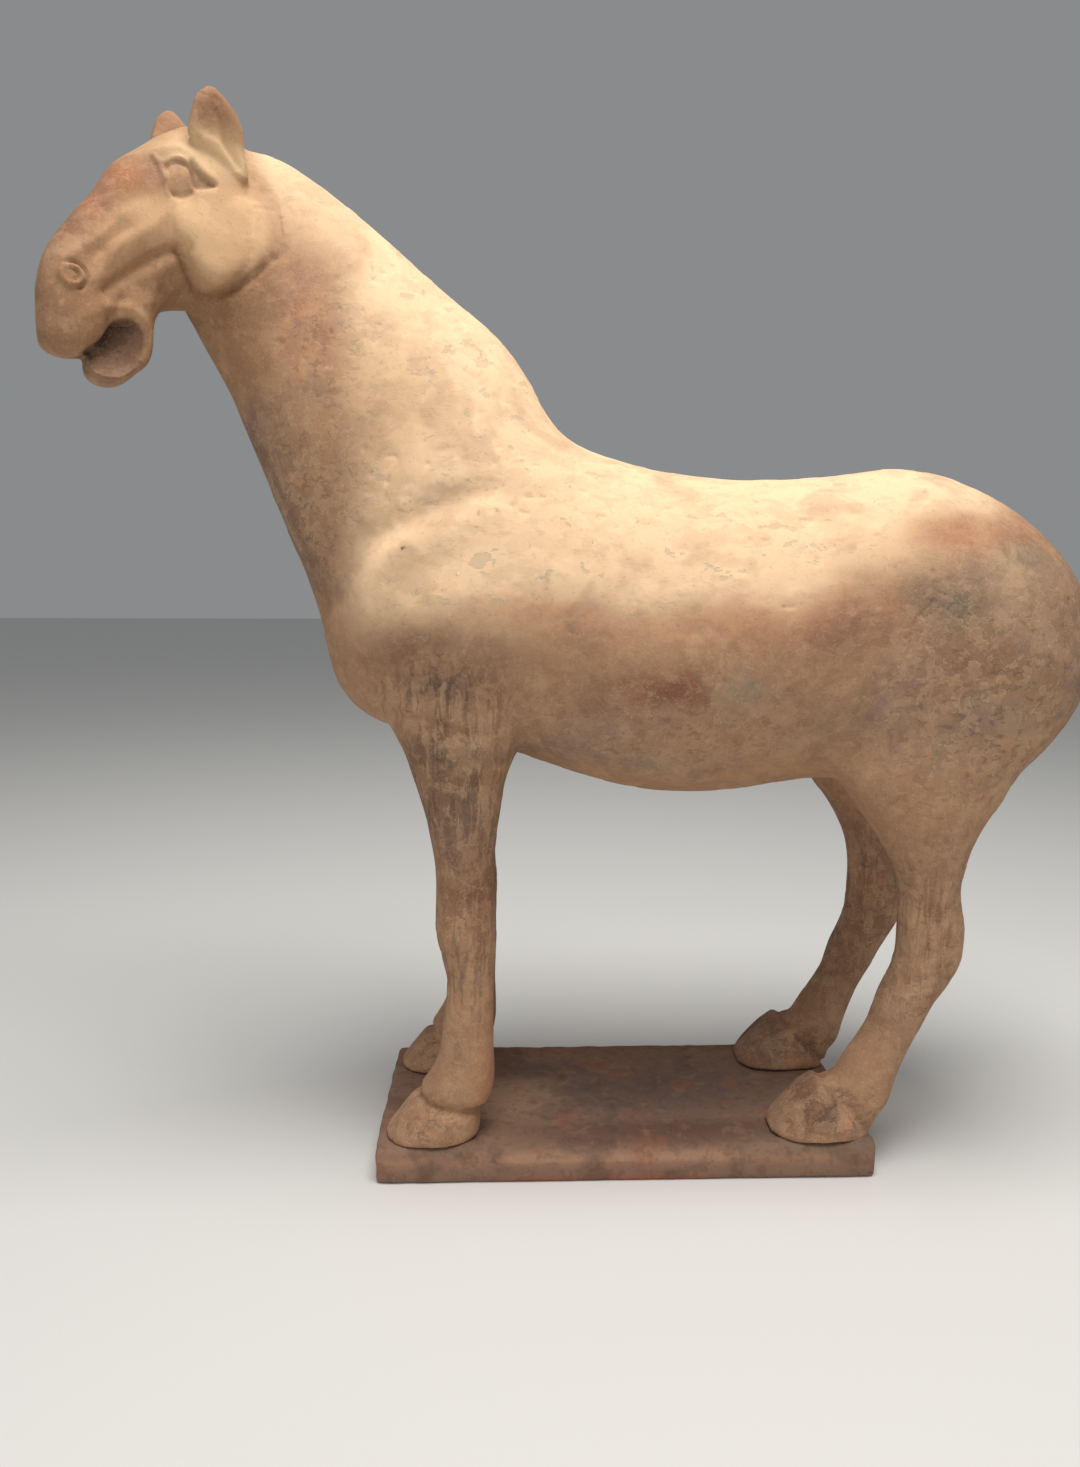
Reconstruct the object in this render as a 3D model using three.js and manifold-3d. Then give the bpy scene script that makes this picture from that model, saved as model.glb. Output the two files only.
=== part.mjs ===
// Standing pottery horse on a flat clay plinth, in millimetres, +Z up.
// The head points to -X and is turned towards -Y; the origin is the centre of the plinth's underside.
import * as THREE from 'three';
import { mergeVertices } from 'three/addons/utils/BufferGeometryUtils.js';
import Module from 'manifold-3d';

const wasm = await Module();
wasm.setup();

// Driving dimensions
const HEIGHT = 683;
const PLINTH_LENGTH = 331;
const PLINTH_WIDTH = 162;
const PLINTH_HEIGHT = 23.5;
const SEAT_GAP = 0.3;
const SOLE = PLINTH_HEIGHT + SEAT_GAP;
const LEG_OUT = 54;
const HEAD_TURN = THREE.MathUtils.degToRad(35);
const HEAD_PIVOT = new THREE.Vector3(-250, -10, 0);

// The stations below are drawn for a horse of this height, so one factor resizes them all.
const DRAWN_HEIGHT = 683;
const MM = HEIGHT / DRAWN_HEIGHT;

// Roundness of a section: 2 is an ellipse, more is squarer, less is sharper.
const ROUND = 2;

// Smooth curve through a table of stations, row by row, at n even steps of the row number.
function spread(rows, n) {
  const width = rows[0].length;
  const at = (row, k) => rows[Math.min(Math.max(row, 0), rows.length - 1)][k];
  const out = [];
  for (let i = 0; i <= n; i++) {
    const t = (i / n) * (rows.length - 1);
    const row = Math.min(Math.floor(t), rows.length - 2);
    const f = t - row;
    const values = [];
    for (let k = 0; k < width; k++) {
      const [a, b, c, d] = [at(row - 1, k), at(row, k), at(row + 1, k), at(row + 2, k)];
      const bend = 2 * a - 5 * b + 4 * c - d + (3 * (b - c) + d - a) * f;
      values.push(b + 0.5 * f * (c - a + f * bend));
    }
    out.push(values);
  }
  return out;
}

const signedPower = (value, power) => Math.sign(value) * Math.abs(value) ** power;

// Closed skin over a list of rings that all have the same number of points, with a flat fan on each end.
function skin(rings) {
  const sides = rings[0].length;
  const points = rings.flat();
  const index = [];
  for (let r = 0; r + 1 < rings.length; r++) {
    for (let s = 0; s < sides; s++) {
      const a = r * sides + s;
      const b = r * sides + ((s + 1) % sides);
      index.push(a, b, b + sides, a, b + sides, a + sides);
    }
  }
  for (const [ring, first, turn] of [[rings[0], 0, 1], [rings.at(-1), (rings.length - 1) * sides, -1]]) {
    const middle = ring.reduce((sum, p) => sum.add(p), new THREE.Vector3()).divideScalar(sides);
    points.push(middle);
    for (let s = 0; s < sides; s++) {
      const pair = [first + s, first + ((s + 1) % sides)];
      if (turn > 0) {
        pair.reverse();
      }
      index.push(points.length - 1, ...pair);
    }
  }
  const geometry = new THREE.BufferGeometry().setFromPoints(points);
  geometry.setIndex(index);
  return geometry;
}

// Solid from a closed geometry, turned right side out if its volume comes out negative.
function solid(geometry) {
  const bare = geometry.clone();
  bare.deleteAttribute('normal');
  bare.deleteAttribute('uv');
  const merged = mergeVertices(bare, 1e-4);
  const p = merged.getAttribute('position');
  const triVerts = Uint32Array.from(merged.index.array);
  const [a, b, c] = [new THREE.Vector3(), new THREE.Vector3(), new THREE.Vector3()];
  let volume = 0;
  for (let i = 0; i < triVerts.length; i += 3) {
    a.fromBufferAttribute(p, triVerts[i]);
    b.fromBufferAttribute(p, triVerts[i + 1]);
    c.fromBufferAttribute(p, triVerts[i + 2]);
    volume += a.dot(b.cross(c));
  }
  if (volume < 0) {
    triVerts.reverse();
  }
  return new wasm.Manifold(new wasm.Mesh({ numProp: 3, vertProperties: Float32Array.from(p.array), triVerts }));
}

function named(name, shape, look) {
  const mesh = shape.getMesh();
  const geometry = new THREE.BufferGeometry();
  geometry.setAttribute('position', new THREE.BufferAttribute(mesh.vertProperties, 3));
  geometry.setIndex(new THREE.BufferAttribute(mesh.triVerts, 1));
  geometry.computeVertexNormals();
  const item = new THREE.Mesh(geometry, new THREE.MeshStandardMaterial(look));
  item.name = name;
  return item;
}

// Trunk and neck stations, from the rump to the poll, each a cut from the back line to the belly line:
// [x top, z top, x bottom, z bottom, half width, sideways shift, upper and lower roundness, turn in degrees]
const TRUNK = [
  [308.8, 353, 308.8, 338, 9, 0, 2, 2, 0],
  [304, 384, 303.5, 309, 42, 0, 2, 2, 0],
  [292, 406, 293, 287, 63, 0, 2.1, 2, 0],
  [271, 428, 275, 267, 81, 0, 2.1, 2.1, 0],
  [246, 444.5, 252, 257, 91, 0, 2.1, 2.7, 0],
  [215, 458.5, 220, 252, 96, 0, 2.1, 3, 0],
  [180, 464, 180, 253, 95, 0, 2.1, 2.8, 0],
  [130, 459, 130, 256, 91, 0, 2.1, 2.2, 0],
  [75, 457, 70, 247.5, 95, 0, 2.1, 2.1, 0],
  [20, 462.5, 10, 249.5, 96, 0, 2.1, 2.1, 0],
  [-28, 477, -40, 263, 94, 0, 2, 2.1, 0],
  [-50, 494, -82, 277, 90, 0, 2, 2.1, 0],
  [-64, 519, -125, 286, 85, 0, 1.9, 2.5, 0],
  [-81, 543, -165, 296, 80, 0, 1.9, 2.6, 0],
  [-101, 561, -191, 319, 73, 0, 1.9, 2.3, 0],
  [-125, 581, -201.5, 358, 63, 0, 1.9, 2.1, 0],
  [-150, 602, -211.5, 389, 55, 0, 1.9, 2.1, 2],
  [-177, 624, -227, 428, 48, -1, 1.9, 2.1, 5],
  [-203, 642, -244, 473, 43, -3, 1.9, 2.1, 10],
  [-228, 655, -259.5, 513, 38, -6, 1.9, 2.1, 18],
  [-250, 655, -279, 551, 29, -10, 2, 2, 26],
  [-266, 645, -292, 578, 20, -15, 2, 2, 32],
];
const TRUNK_WIDEST = 0.46;

// Soft swellings of the shoulder and the haunch: [x, z, reach along, reach up, height]
const SWELLINGS = [
  [-132, 362, 58, 44, 12],
  [-205, 400, 26, 30, -3],
  [225, 350, 60, 60, 5],
];

// Foreleg stations, from the shoulder down into the hoof: [z, x front, x back, half width, out from the middle]
const FORELEG = [
  [345, -184, -62, 22, 46],
  [305, -159, -64, 30, 47.5],
  [283, -146, -71.5, 31.5, 48.5],
  [263, -139, -79.5, 29.5, 50.5],
  [240, -131, -83.5, 26.5, 52],
  [220, -126.6, -86.5, 22.5, 53.5],
  [198, -124.3, -87.5, 20, LEG_OUT],
  [165, -125, -86, 19.8, LEG_OUT],
  [146, -121.5, -86.5, 17.5, LEG_OUT],
  [126, -117.8, -87.5, 15.8, LEG_OUT],
  [101, -121, -87.5, 15.8, LEG_OUT],
  [87, -122.6, -87.5, 16.8, LEG_OUT],
  [74, -125.6, -87, 18.6, LEG_OUT],
  [62, -132.5, -87, 20, LEG_OUT],
  [52, -138.5, -88.5, 21, LEG_OUT],
  [44.5, -140.5, -92.5, 20.6, LEG_OUT],
  [37, -141, -98, 20, LEG_OUT],
  [28, -141, -99, 20, LEG_OUT],
];

// Hind leg stations, from the haunch down to the heel, in the same order
const HIND_LEG = [
  [385, 174, 286, 26, 44],
  [345, 150, 296, 33, 47],
  [300, 136, 277, 37, 49.5],
  [270, 130, 257, 36, 51],
  [250, 145, 245.5, 33, 52.5],
  [231, 160, 231.5, 29, 53.5],
  [212, 172, 223, 25.5, LEG_OUT],
  [190, 180.3, 219, 22, LEG_OUT],
  [160, 181.2, 223.5, 20.5, LEG_OUT],
  [138, 179, 220.5, 19.5, LEG_OUT],
  [113, 168.5, 206.5, 18, LEG_OUT],
  [98, 164, 199, 17.5, LEG_OUT],
  [84, 156, 191.5, 17.8, LEG_OUT],
  [73, 149, 187, 18.8, LEG_OUT],
  [62, 142.5, 183, 20, LEG_OUT],
  [53, 139, 180, 20.8, LEG_OUT],
  [46, 137, 178.5, 20.8, LEG_OUT],
  [40, 138, 175.5, 20, LEG_OUT],
  [33, 139, 169.5, 19.5, LEG_OUT],
  [SOLE, 139, 168, 20, LEG_OUT],
];

// Hoof stations, from the coronet to the sole, in the same order
const FORE_HOOF = [
  [52, -134, -104, 14, LEG_OUT],
  [48.5, -141.5, -99, 20.5, LEG_OUT],
  [43.5, -145.8, -97.5, 23.6, LEG_OUT],
  [36, -151.5, -96.8, 25.4, LEG_OUT],
  [29, -157, -96.6, 26.4, LEG_OUT],
  [SOLE, -160, -98.5, 26.6, LEG_OUT],
];
const HIND_HOOF = [
  [59.5, 133, 138, 8, LEG_OUT],
  [56, 127, 142.5, 16, LEG_OUT],
  [50, 119, 147.5, 22, LEG_OUT],
  [42, 111, 154, 25, LEG_OUT],
  [34, 103.5, 159, 26.2, LEG_OUT],
  [28, 99, 162, 26.8, LEG_OUT],
  [SOLE, 97, 164, 26.8, LEG_OUT],
];

// Head stations in the head's own frame, from the nape to the lips. Forward runs from the pivot to the nose:
// [forward top, z top, forward bottom, z bottom, half width, sideways shift, upper and lower roundness, turn]
const HEAD = [
  [-14, 650, -4, 566, 24, 0, 2, 2.2, 0],
  [4, 662, 10, 557, 31, 0, 2.2, 1.9, 0],
  [26, 664, 26, 555, 33.5, 0, 2.4, 1.7, 0],
  [46, 655, 38, 555, 31.5, 0, 2.6, 1.7, 0],
  [62, 643, 48, 553, 27.5, 0, 2.6, 1.9, 0],
  [76, 632, 57, 553, 24.5, 0, 2.5, 2.2, 0],
  [86.5, 616, 67, 554, 22.5, 0, 2.5, 2.2, 0],
  [97.5, 602.5, 76, 549, 21.5, 0, 2.5, 2.3, 0],
  [108, 589, 83, 538, 22, 0, 2.4, 2.6, 0],
  [116, 576, 88, 529, 22.5, 0, 2.4, 3, 0],
  [120.5, 560, 92.5, 524, 21.5, 0, 2.4, 3, 0],
  [121.5, 545, 98, 520, 19.5, 0, 2.4, 3, 0],
  [121.5, 534.5, 105, 518.8, 17, 0, 2.4, 2.6, 0],
  [121, 527.5, 112, 519.8, 13, 0, 2.2, 2.2, 0],
  [119.5, 524.5, 116, 521.5, 6, 0, 2, 2, 0],
];

// Lower jaw, curling from the throat to the lip: the outer edge, then the edge along the upper lip
const JAW = [
  [44, 560, 66, 574, 19, 0, 2, 2, 0],
  [54.5, 547, 82, 558, 18.5, 0, 2.2, 2.2, 0],
  [57.3, 533, 88, 544, 18, 0, 2.3, 2.5, 0],
  [61, 520.5, 92, 535, 17.5, 0, 2.3, 2.7, 0],
  [70, 511, 95, 528, 17, 0, 2.2, 2.7, 0],
  [79, 505, 97, 521.5, 16.5, 0, 2.2, 2.5, 0],
  [87.5, 504.5, 97, 517.5, 14.5, 0, 2, 2.2, 0],
  [94, 508, 97, 514, 8, 0, 2, 2, 0],
];

// Ear stations from the lobe to the tip: [z, forward, half length, half thickness, out from the middle]
const EAR = [
  [630, 6, 4, 3.5, 29],
  [639, 13, 9.5, 4, 28.5],
  [648, 21.5, 17, 4.8, 28.3],
  [657, 22, 16.5, 6.3, 29.3],
  [665, 23, 13.5, 6.3, 30],
  [672, 24.8, 9, 5.2, 30.3],
  [678, 25.3, 2.5, 2.2, 30],
];
const FAR_EAR_SHIFT = { forward: 4, up: 5 };

// Flat round cheek plate: its outline in side view (forward, z), and rings that each lie a given distance out of
// the middle of the head with a given share of the outline. It leans in above its middle.
const CHEEK_OUTLINE = [
  [-1.5, 619], [-5.2, 604], [-3, 586.5], [9, 573], [21.8, 564.4], [30.5, 564.6], [38, 571], [46.5, 583.5],
  [51.5, 594], [49, 607], [38, 617], [24, 622], [10, 624],
];
const CHEEK_MIDDLE = { forward: 24, z: 595 };
const CHEEK_RINGS = [[14, 1], [30, 0.985], [34.2, 0.9], [35.2, 0.5], [35.5, 0.12]];
const CHEEK_LEAN = 0.12;
const EYE = { forward: 45.5, z: 621.5, out: 25.5, radius: 8.5 };
const BROW = { rise: 12, reach: 15, thickness: 3.2 };
const NOSTRIL = { forward: 105.2, z: 560.2, out: 20.5, radius: 7.5, rim: 2.2 };
const MOUTH_CORNER = { forward: 83, z: 537, radius: 1.1 };
const MOUTH_END = { forward: 105, z: 510.5, radius: 1.5 };
const MOUTH_HOLLOW = { forward: 83, z: 528, out: 21, length: 15, depth: 12, height: 17 };

// One section ring in the plane that holds the line from bottom to top and the sideways direction.
function sectionRing(row, sides, widest, swell) {
  const [xTop, zTop, xBottom, zBottom, half, shift, upper, lower, degrees] = row;
  const turn = THREE.MathUtils.degToRad(degrees);
  const ring = [];
  for (let s = 0; s < sides; s++) {
    const angle = (s / sides) * 2 * Math.PI;
    const roundness = Math.sin(angle) > 0 ? upper : lower;
    const across = signedPower(Math.cos(angle), 2 / roundness);
    const rise = signedPower(Math.sin(angle), 2 / roundness);
    const up = widest + rise * (rise > 0 ? 1 - widest : widest);
    const x = xBottom + (xTop - xBottom) * up;
    const z = zBottom + (zTop - zBottom) * up;
    const y = across * (half + swell(x, z));
    ring.push(new THREE.Vector3(x - y * Math.sin(turn), shift + y * Math.cos(turn), z).multiplyScalar(MM));
  }
  return ring;
}

function swellingAt(x, z) {
  return SWELLINGS.reduce((sum, [cx, cz, along, up, height]) => {
    const far = ((x - cx) / along) ** 2 + ((z - cz) / up) ** 2;
    return sum + height * Math.exp(-far);
  }, 0);
}

const noSwelling = () => 0;

function loftedBody(table, steps, sides, widest, swell) {
  return solid(skin(spread(table, steps).map((row) => sectionRing(row, sides, widest, swell))));
}

// Leg or hoof made of level rings; side is -1 for the near leg and 1 for the far one.
function levelLoft(table, steps, sides, side, roundness) {
  const rings = spread(table, steps).map(([z, front, back, half, out]) => {
    const ring = [];
    for (let s = 0; s < sides; s++) {
      const angle = (s / sides) * 2 * Math.PI;
      const x = (front + back) / 2 + ((back - front) / 2) * signedPower(Math.cos(angle), 2 / roundness);
      const y = side * out + half * signedPower(Math.sin(angle), 2 / roundness);
      ring.push(new THREE.Vector3(x * MM, y * MM, z * MM));
    }
    return ring;
  });
  return solid(skin(rings));
}

// Places a shape made in the head's frame (forward, out to the horse's left, up) on the turned head.
function onHead(geometry) {
  const forward = new THREE.Vector3(-Math.cos(HEAD_TURN), -Math.sin(HEAD_TURN), 0);
  const left = new THREE.Vector3(Math.sin(HEAD_TURN), -Math.cos(HEAD_TURN), 0);
  const up = new THREE.Vector3(0, 0, 1);
  const frame = new THREE.Matrix4().makeBasis(forward, left, up).setPosition(HEAD_PIVOT.clone().multiplyScalar(MM));
  return geometry.clone().applyMatrix4(frame);
}

function headLoft(table, steps, sides, widest) {
  const rings = spread(table, steps).map((row) => sectionRing(row, sides, widest, noSwelling));
  return solid(onHead(skin(rings)));
}

function headBall(forward, out, z, length, depth, height, detail) {
  const ball = new THREE.SphereGeometry(1, detail, detail / 2);
  ball.scale(length * MM, depth * MM, height * MM);
  ball.translate(forward * MM, out * MM, z * MM);
  return solid(onHead(ball));
}

// Round rope of clay along a curve through points of the head's frame
function headRope(points, radius, steps, closed) {
  const path = new THREE.CatmullRomCurve3(points.map((p) => new THREE.Vector3(...p).multiplyScalar(MM)), closed);
  const bead = new THREE.Shape().absarc(0, 0, radius * MM, 0, 2 * Math.PI);
  const rope = new THREE.ExtrudeGeometry(bead, { steps, extrudePath: path, curveSegments: 3, bevelEnabled: false });
  return solid(onHead(rope));
}

function ear(side) {
  const sides = 10;
  const shift = side < 0 ? FAR_EAR_SHIFT : { forward: 0, up: 0 };
  const rings = spread(EAR, 9).map(([z, forward, long, thick, out]) => {
    const ring = [];
    for (let s = 0; s < sides; s++) {
      const angle = (s / sides) * 2 * Math.PI;
      const ahead = forward + shift.forward + long * Math.cos(angle);
      const point = [ahead, side * out + thick * Math.sin(angle), z + shift.up];
      ring.push(new THREE.Vector3(...point).multiplyScalar(MM));
    }
    return ring;
  });
  return solid(onHead(skin(rings)));
}

function cheek(side) {
  const corners = CHEEK_OUTLINE.map(([ahead, height]) => new THREE.Vector3(ahead, height, 0));
  const outline = new THREE.CatmullRomCurve3(corners, true, 'catmullrom').getPoints(24).slice(0, -1);
  const { forward, z } = CHEEK_MIDDLE;
  const rings = CHEEK_RINGS.map(([out, share]) => outline.map((p) => {
    const up = z + share * (p.y - z);
    const at = out - CHEEK_LEAN * Math.max(up - z, 0);
    return new THREE.Vector3(forward + share * (p.x - forward), side * at, up).multiplyScalar(MM);
  }));
  return solid(onHead(skin(rings)));
}

function brow(side) {
  const points = [];
  for (let i = 0; i <= 4; i++) {
    const angle = (0.05 + 0.85 * (i / 4)) * Math.PI;
    const forward = EYE.forward + BROW.reach * Math.cos(angle);
    const z = EYE.z + BROW.rise * Math.sin(angle) + 3;
    points.push([forward, side * (EYE.out + 2.5 - 0.12 * (forward - EYE.forward)), z]);
  }
  return headRope(points, BROW.thickness, 8, false);
}

function nostril(side) {
  const points = [];
  for (let i = 0; i < 6; i++) {
    const angle = (i / 6) * 2 * Math.PI;
    const forward = NOSTRIL.forward + (NOSTRIL.radius - NOSTRIL.rim) * Math.cos(angle);
    const z = NOSTRIL.z + (NOSTRIL.radius - NOSTRIL.rim) * Math.sin(angle);
    points.push([forward, side * NOSTRIL.out, z]);
  }
  return headRope(points, NOSTRIL.rim, 14, true);
}

// Slit between the lips: a thin wedge that opens towards the front, cut straight through
function mouthSlit() {
  const [a, b] = [MOUTH_CORNER, MOUTH_END];
  const outline = new THREE.Shape();
  outline.moveTo((a.forward + a.radius * 0.7) * MM, (a.z + a.radius * 0.7) * MM);
  outline.absarc(a.forward * MM, a.z * MM, a.radius * MM, 0.25 * Math.PI, 1.25 * Math.PI, false);
  outline.lineTo((b.forward - b.radius) * MM, (b.z - b.radius) * MM);
  outline.lineTo((b.forward + b.radius) * MM, (b.z + b.radius) * MM);
  const reach = 40;
  const wedge = new THREE.ExtrudeGeometry(outline, { depth: 2 * reach * MM, bevelEnabled: false, curveSegments: 5 });
  wedge.translate(0, 0, -reach * MM);
  wedge.rotateX(Math.PI / 2);
  return solid(onHead(wedge));
}

function horse() {
  let body = loftedBody(TRUNK, 40, 24, TRUNK_WIDEST, swellingAt);
  for (const side of [-1, 1]) {
    body = body.add(levelLoft(FORELEG, 26, 12, side, ROUND + 0.2));
    body = body.add(levelLoft(HIND_LEG, 28, 12, side, ROUND + 0.1));
    body = body.add(levelLoft(FORE_HOOF, 6, 14, side, ROUND + 0.4));
    body = body.add(levelLoft(HIND_HOOF, 6, 14, side, ROUND + 0.8));
  }
  const hollow = MOUTH_HOLLOW;
  let jaw = headLoft(JAW, 14, 14, 0.5);
  for (const side of [-1, 1]) {
    const bowl = headBall(hollow.forward, side * hollow.out, hollow.z, hollow.length, hollow.depth, hollow.height, 16);
    jaw = jaw.subtract(bowl);
  }
  let head = headLoft(HEAD, 26, 18, 0.45).add(jaw).subtract(mouthSlit());
  for (const side of [-1, 1]) {
    head = head.add(cheek(side));
    head = head.add(headBall(EYE.forward, side * EYE.out, EYE.z, EYE.radius, EYE.radius * 0.8, EYE.radius, 12));
    head = head.add(brow(side));
    head = head.add(nostril(side));
    head = head.add(ear(side));
  }
  return body.add(head);
}

// Corner-rounded outline with a slow waver, as an edge pressed by hand has.
function plinthOutline(length, width, z) {
  const corner = 6;
  const sideSteps = 9;
  const [x, y] = [length / 2 - corner, width / 2 - corner];
  const centres = [[x, y], [-x, y], [-x, -y], [x, -y]];
  const rim = [];
  centres.forEach(([cx, cy], k) => {
    for (let i = 0; i <= 2; i++) {
      const angle = (k + i / 2) * 0.5 * Math.PI;
      rim.push([cx + corner * Math.cos(angle), cy + corner * Math.sin(angle)]);
    }
  });
  const points = [];
  rim.forEach(([ax, ay], k) => {
    const [bx, by] = rim[(k + 1) % rim.length];
    const steps = k % 3 === 2 ? sideSteps : 1;
    for (let i = 0; i < steps; i++) {
      const px = ax + ((bx - ax) * i) / steps;
      const py = ay + ((by - ay) * i) / steps;
      const waver = 1 + 0.003 * Math.sin(px / 21) + 0.003 * Math.cos(py / 17 + px / 40);
      points.push(new THREE.Vector3(px * waver, py * waver, z).multiplyScalar(MM));
    }
  });
  return points;
}

function plinth() {
  const top = PLINTH_HEIGHT;
  return solid(skin([
    plinthOutline(PLINTH_LENGTH, PLINTH_WIDTH, 0),
    plinthOutline(PLINTH_LENGTH - 1, PLINTH_WIDTH - 1, 2),
    plinthOutline(PLINTH_LENGTH - 6, PLINTH_WIDTH - 2, top - 1.5),
    plinthOutline(PLINTH_LENGTH - 9, PLINTH_WIDTH - 4, top),
  ]));
}

const fired = { color: 0xb98a66, roughness: 0.92, metalness: 0 };
const umber = { color: 0x6b5344, roughness: 0.95, metalness: 0 };

const part = new THREE.Group();
part.add(named('horse', horse(), fired));
part.add(named('plinth', plinth(), umber));

export default part;
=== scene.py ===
# %% [markdown]
# # A pottery horse on its plinth
# This notebook builds the looks of an old unglazed earthenware horse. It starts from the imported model,
# which holds the true sizes, and reads everything else from it. The horse is one fired piece, so it becomes
# one skin here as well. The plinth is the second piece.

# %% Load the fixed frame
import math

import bpy
import numpy as np
from mathutils import Matrix, Vector


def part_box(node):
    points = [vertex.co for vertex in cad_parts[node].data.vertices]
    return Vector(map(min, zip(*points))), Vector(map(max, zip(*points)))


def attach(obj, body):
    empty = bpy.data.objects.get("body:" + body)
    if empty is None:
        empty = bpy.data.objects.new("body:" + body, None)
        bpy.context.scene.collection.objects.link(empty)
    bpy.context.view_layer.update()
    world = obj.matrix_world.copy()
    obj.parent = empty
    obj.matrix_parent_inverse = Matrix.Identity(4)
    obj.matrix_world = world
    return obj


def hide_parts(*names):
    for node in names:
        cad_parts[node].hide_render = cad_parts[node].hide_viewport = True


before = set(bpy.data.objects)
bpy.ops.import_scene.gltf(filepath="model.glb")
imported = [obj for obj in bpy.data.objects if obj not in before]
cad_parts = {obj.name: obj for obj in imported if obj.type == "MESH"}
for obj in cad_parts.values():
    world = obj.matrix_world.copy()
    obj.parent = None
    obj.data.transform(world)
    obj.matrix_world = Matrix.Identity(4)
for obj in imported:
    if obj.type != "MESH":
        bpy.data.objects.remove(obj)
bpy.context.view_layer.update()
horse_low, horse_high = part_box("horse")
plinth_low, plinth_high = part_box("plinth")

# %% [markdown]
# ## One unit for every drawing
# All stations below are in drawing millimetres, for a horse that is 683 mm tall to its far ear tip. The
# packed horse says how tall it really is, so one factor turns a drawing millimetre into metres.

# %% Measure the unit
DRAWN_HEIGHT = 683.0
MM = horse_high.z / DRAWN_HEIGHT
print(f"one drawing millimetre is {MM * 1000:.4f} mm, quick look: {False}")

# %% [markdown]
# ## The camera
# The picture was taken a little above the back of the horse, close by, with a wide lens that looks down
# slightly. A close camera matters here: it makes the near legs longer than the far ones.

# %% Camera
CAMERA_PLACE = (-0.0797, -0.7404, 0.3863)
LOOK_DOWN = math.radians(7.77)
LOOK_RIGHT = math.radians(1.86)
ROLL = math.radians(0.17)
FOCAL_PIXELS = 1082
IMAGE_HEIGHT = 1467
SENSOR = 36.0


def placed(name, data):
    """A new object that shows the data, linked to the scene."""
    item = bpy.data.objects.new(name, data)
    bpy.context.scene.collection.objects.link(item)
    return item


camera_data = bpy.data.cameras.new("camera")
camera_data.sensor_width = SENSOR
camera_data.lens = FOCAL_PIXELS / IMAGE_HEIGHT * SENSOR
camera_data.clip_start = 0.01
camera = placed("camera", camera_data)
turn = Matrix.Rotation(-LOOK_RIGHT, 4, "Z") @ Matrix.Rotation(math.pi / 2 - LOOK_DOWN, 4, "X")
camera.matrix_world = Matrix.Translation(CAMERA_PLACE) @ turn @ Matrix.Rotation(ROLL, 4, "Z")
bpy.context.scene.camera = camera
print(f"lens {camera_data.lens:.2f} mm")

# %% [markdown]
# ## Smooth curves through a few stations
# A potter's form has no corners, so every form is drawn by a short table of stations and a smooth curve
# runs through them. A Catmull-Rom curve is a good choice, because it passes through each station that was
# measured.


# %% Curves and powers
def curve_rows(rows, count, closed=False):
    """Catmull-Rom curve through the rows a, b, c, d of a table, at even steps of the row number.
    Between b and c, at share f, the value is
    b + f/2 (c - a + f (2a - 5b + 4c - d + f (3(b - c) + d - a)))."""
    rows = np.asarray(rows, float)
    last = len(rows) if closed else len(rows) - 1
    place = np.linspace(0, last, count, endpoint=not closed)
    row = np.minimum(place.astype(int), last - 1)
    f = (place - row)[:, None]
    keep = (lambda i: i % len(rows)) if closed else (lambda i: np.clip(i, 0, len(rows) - 1))
    a, b, c, d = (rows[keep(row + k)] for k in (-1, 0, 1, 2))
    return b + 0.5 * f * (c - a + f * (2 * a - 5 * b + 4 * c - d + f * (3 * (b - c) + d - a)))


def signed_power(value, power):
    """The value's sign times its size to a power, which squares or sharpens a circle."""
    return np.sign(value) * np.abs(value) ** power


def smooth_step(low, high, value):
    """0 below low, 1 above high, and 3s^2 - 2s^3 between them."""
    share = np.clip((value - low) / (high - low), 0, 1)
    return share * share * (3 - 2 * share)


def around(count):
    """Even angles of a full turn, as a row that a column of stations can be combined with."""
    return np.linspace(0, 2 * np.pi, count, endpoint=False)[None, :]


print("a curve through 0, 4 and 6:", curve_rows([[0], [4], [6]], 5).ravel())


# %% [markdown]
# ## Trunk and neck
# The real body was pressed in two half moulds, so its sections are soft ovals. Each station is a cut from
# the back line to the belly line: [x top, z top, x bottom, z bottom, half width, sideways shift, upper
# roundness, lower roundness, turn in degrees]. A roundness of 2 is an ellipse, and more is squarer. The
# cuts lean over as they climb the neck, and turn with the head near the poll.

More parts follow.
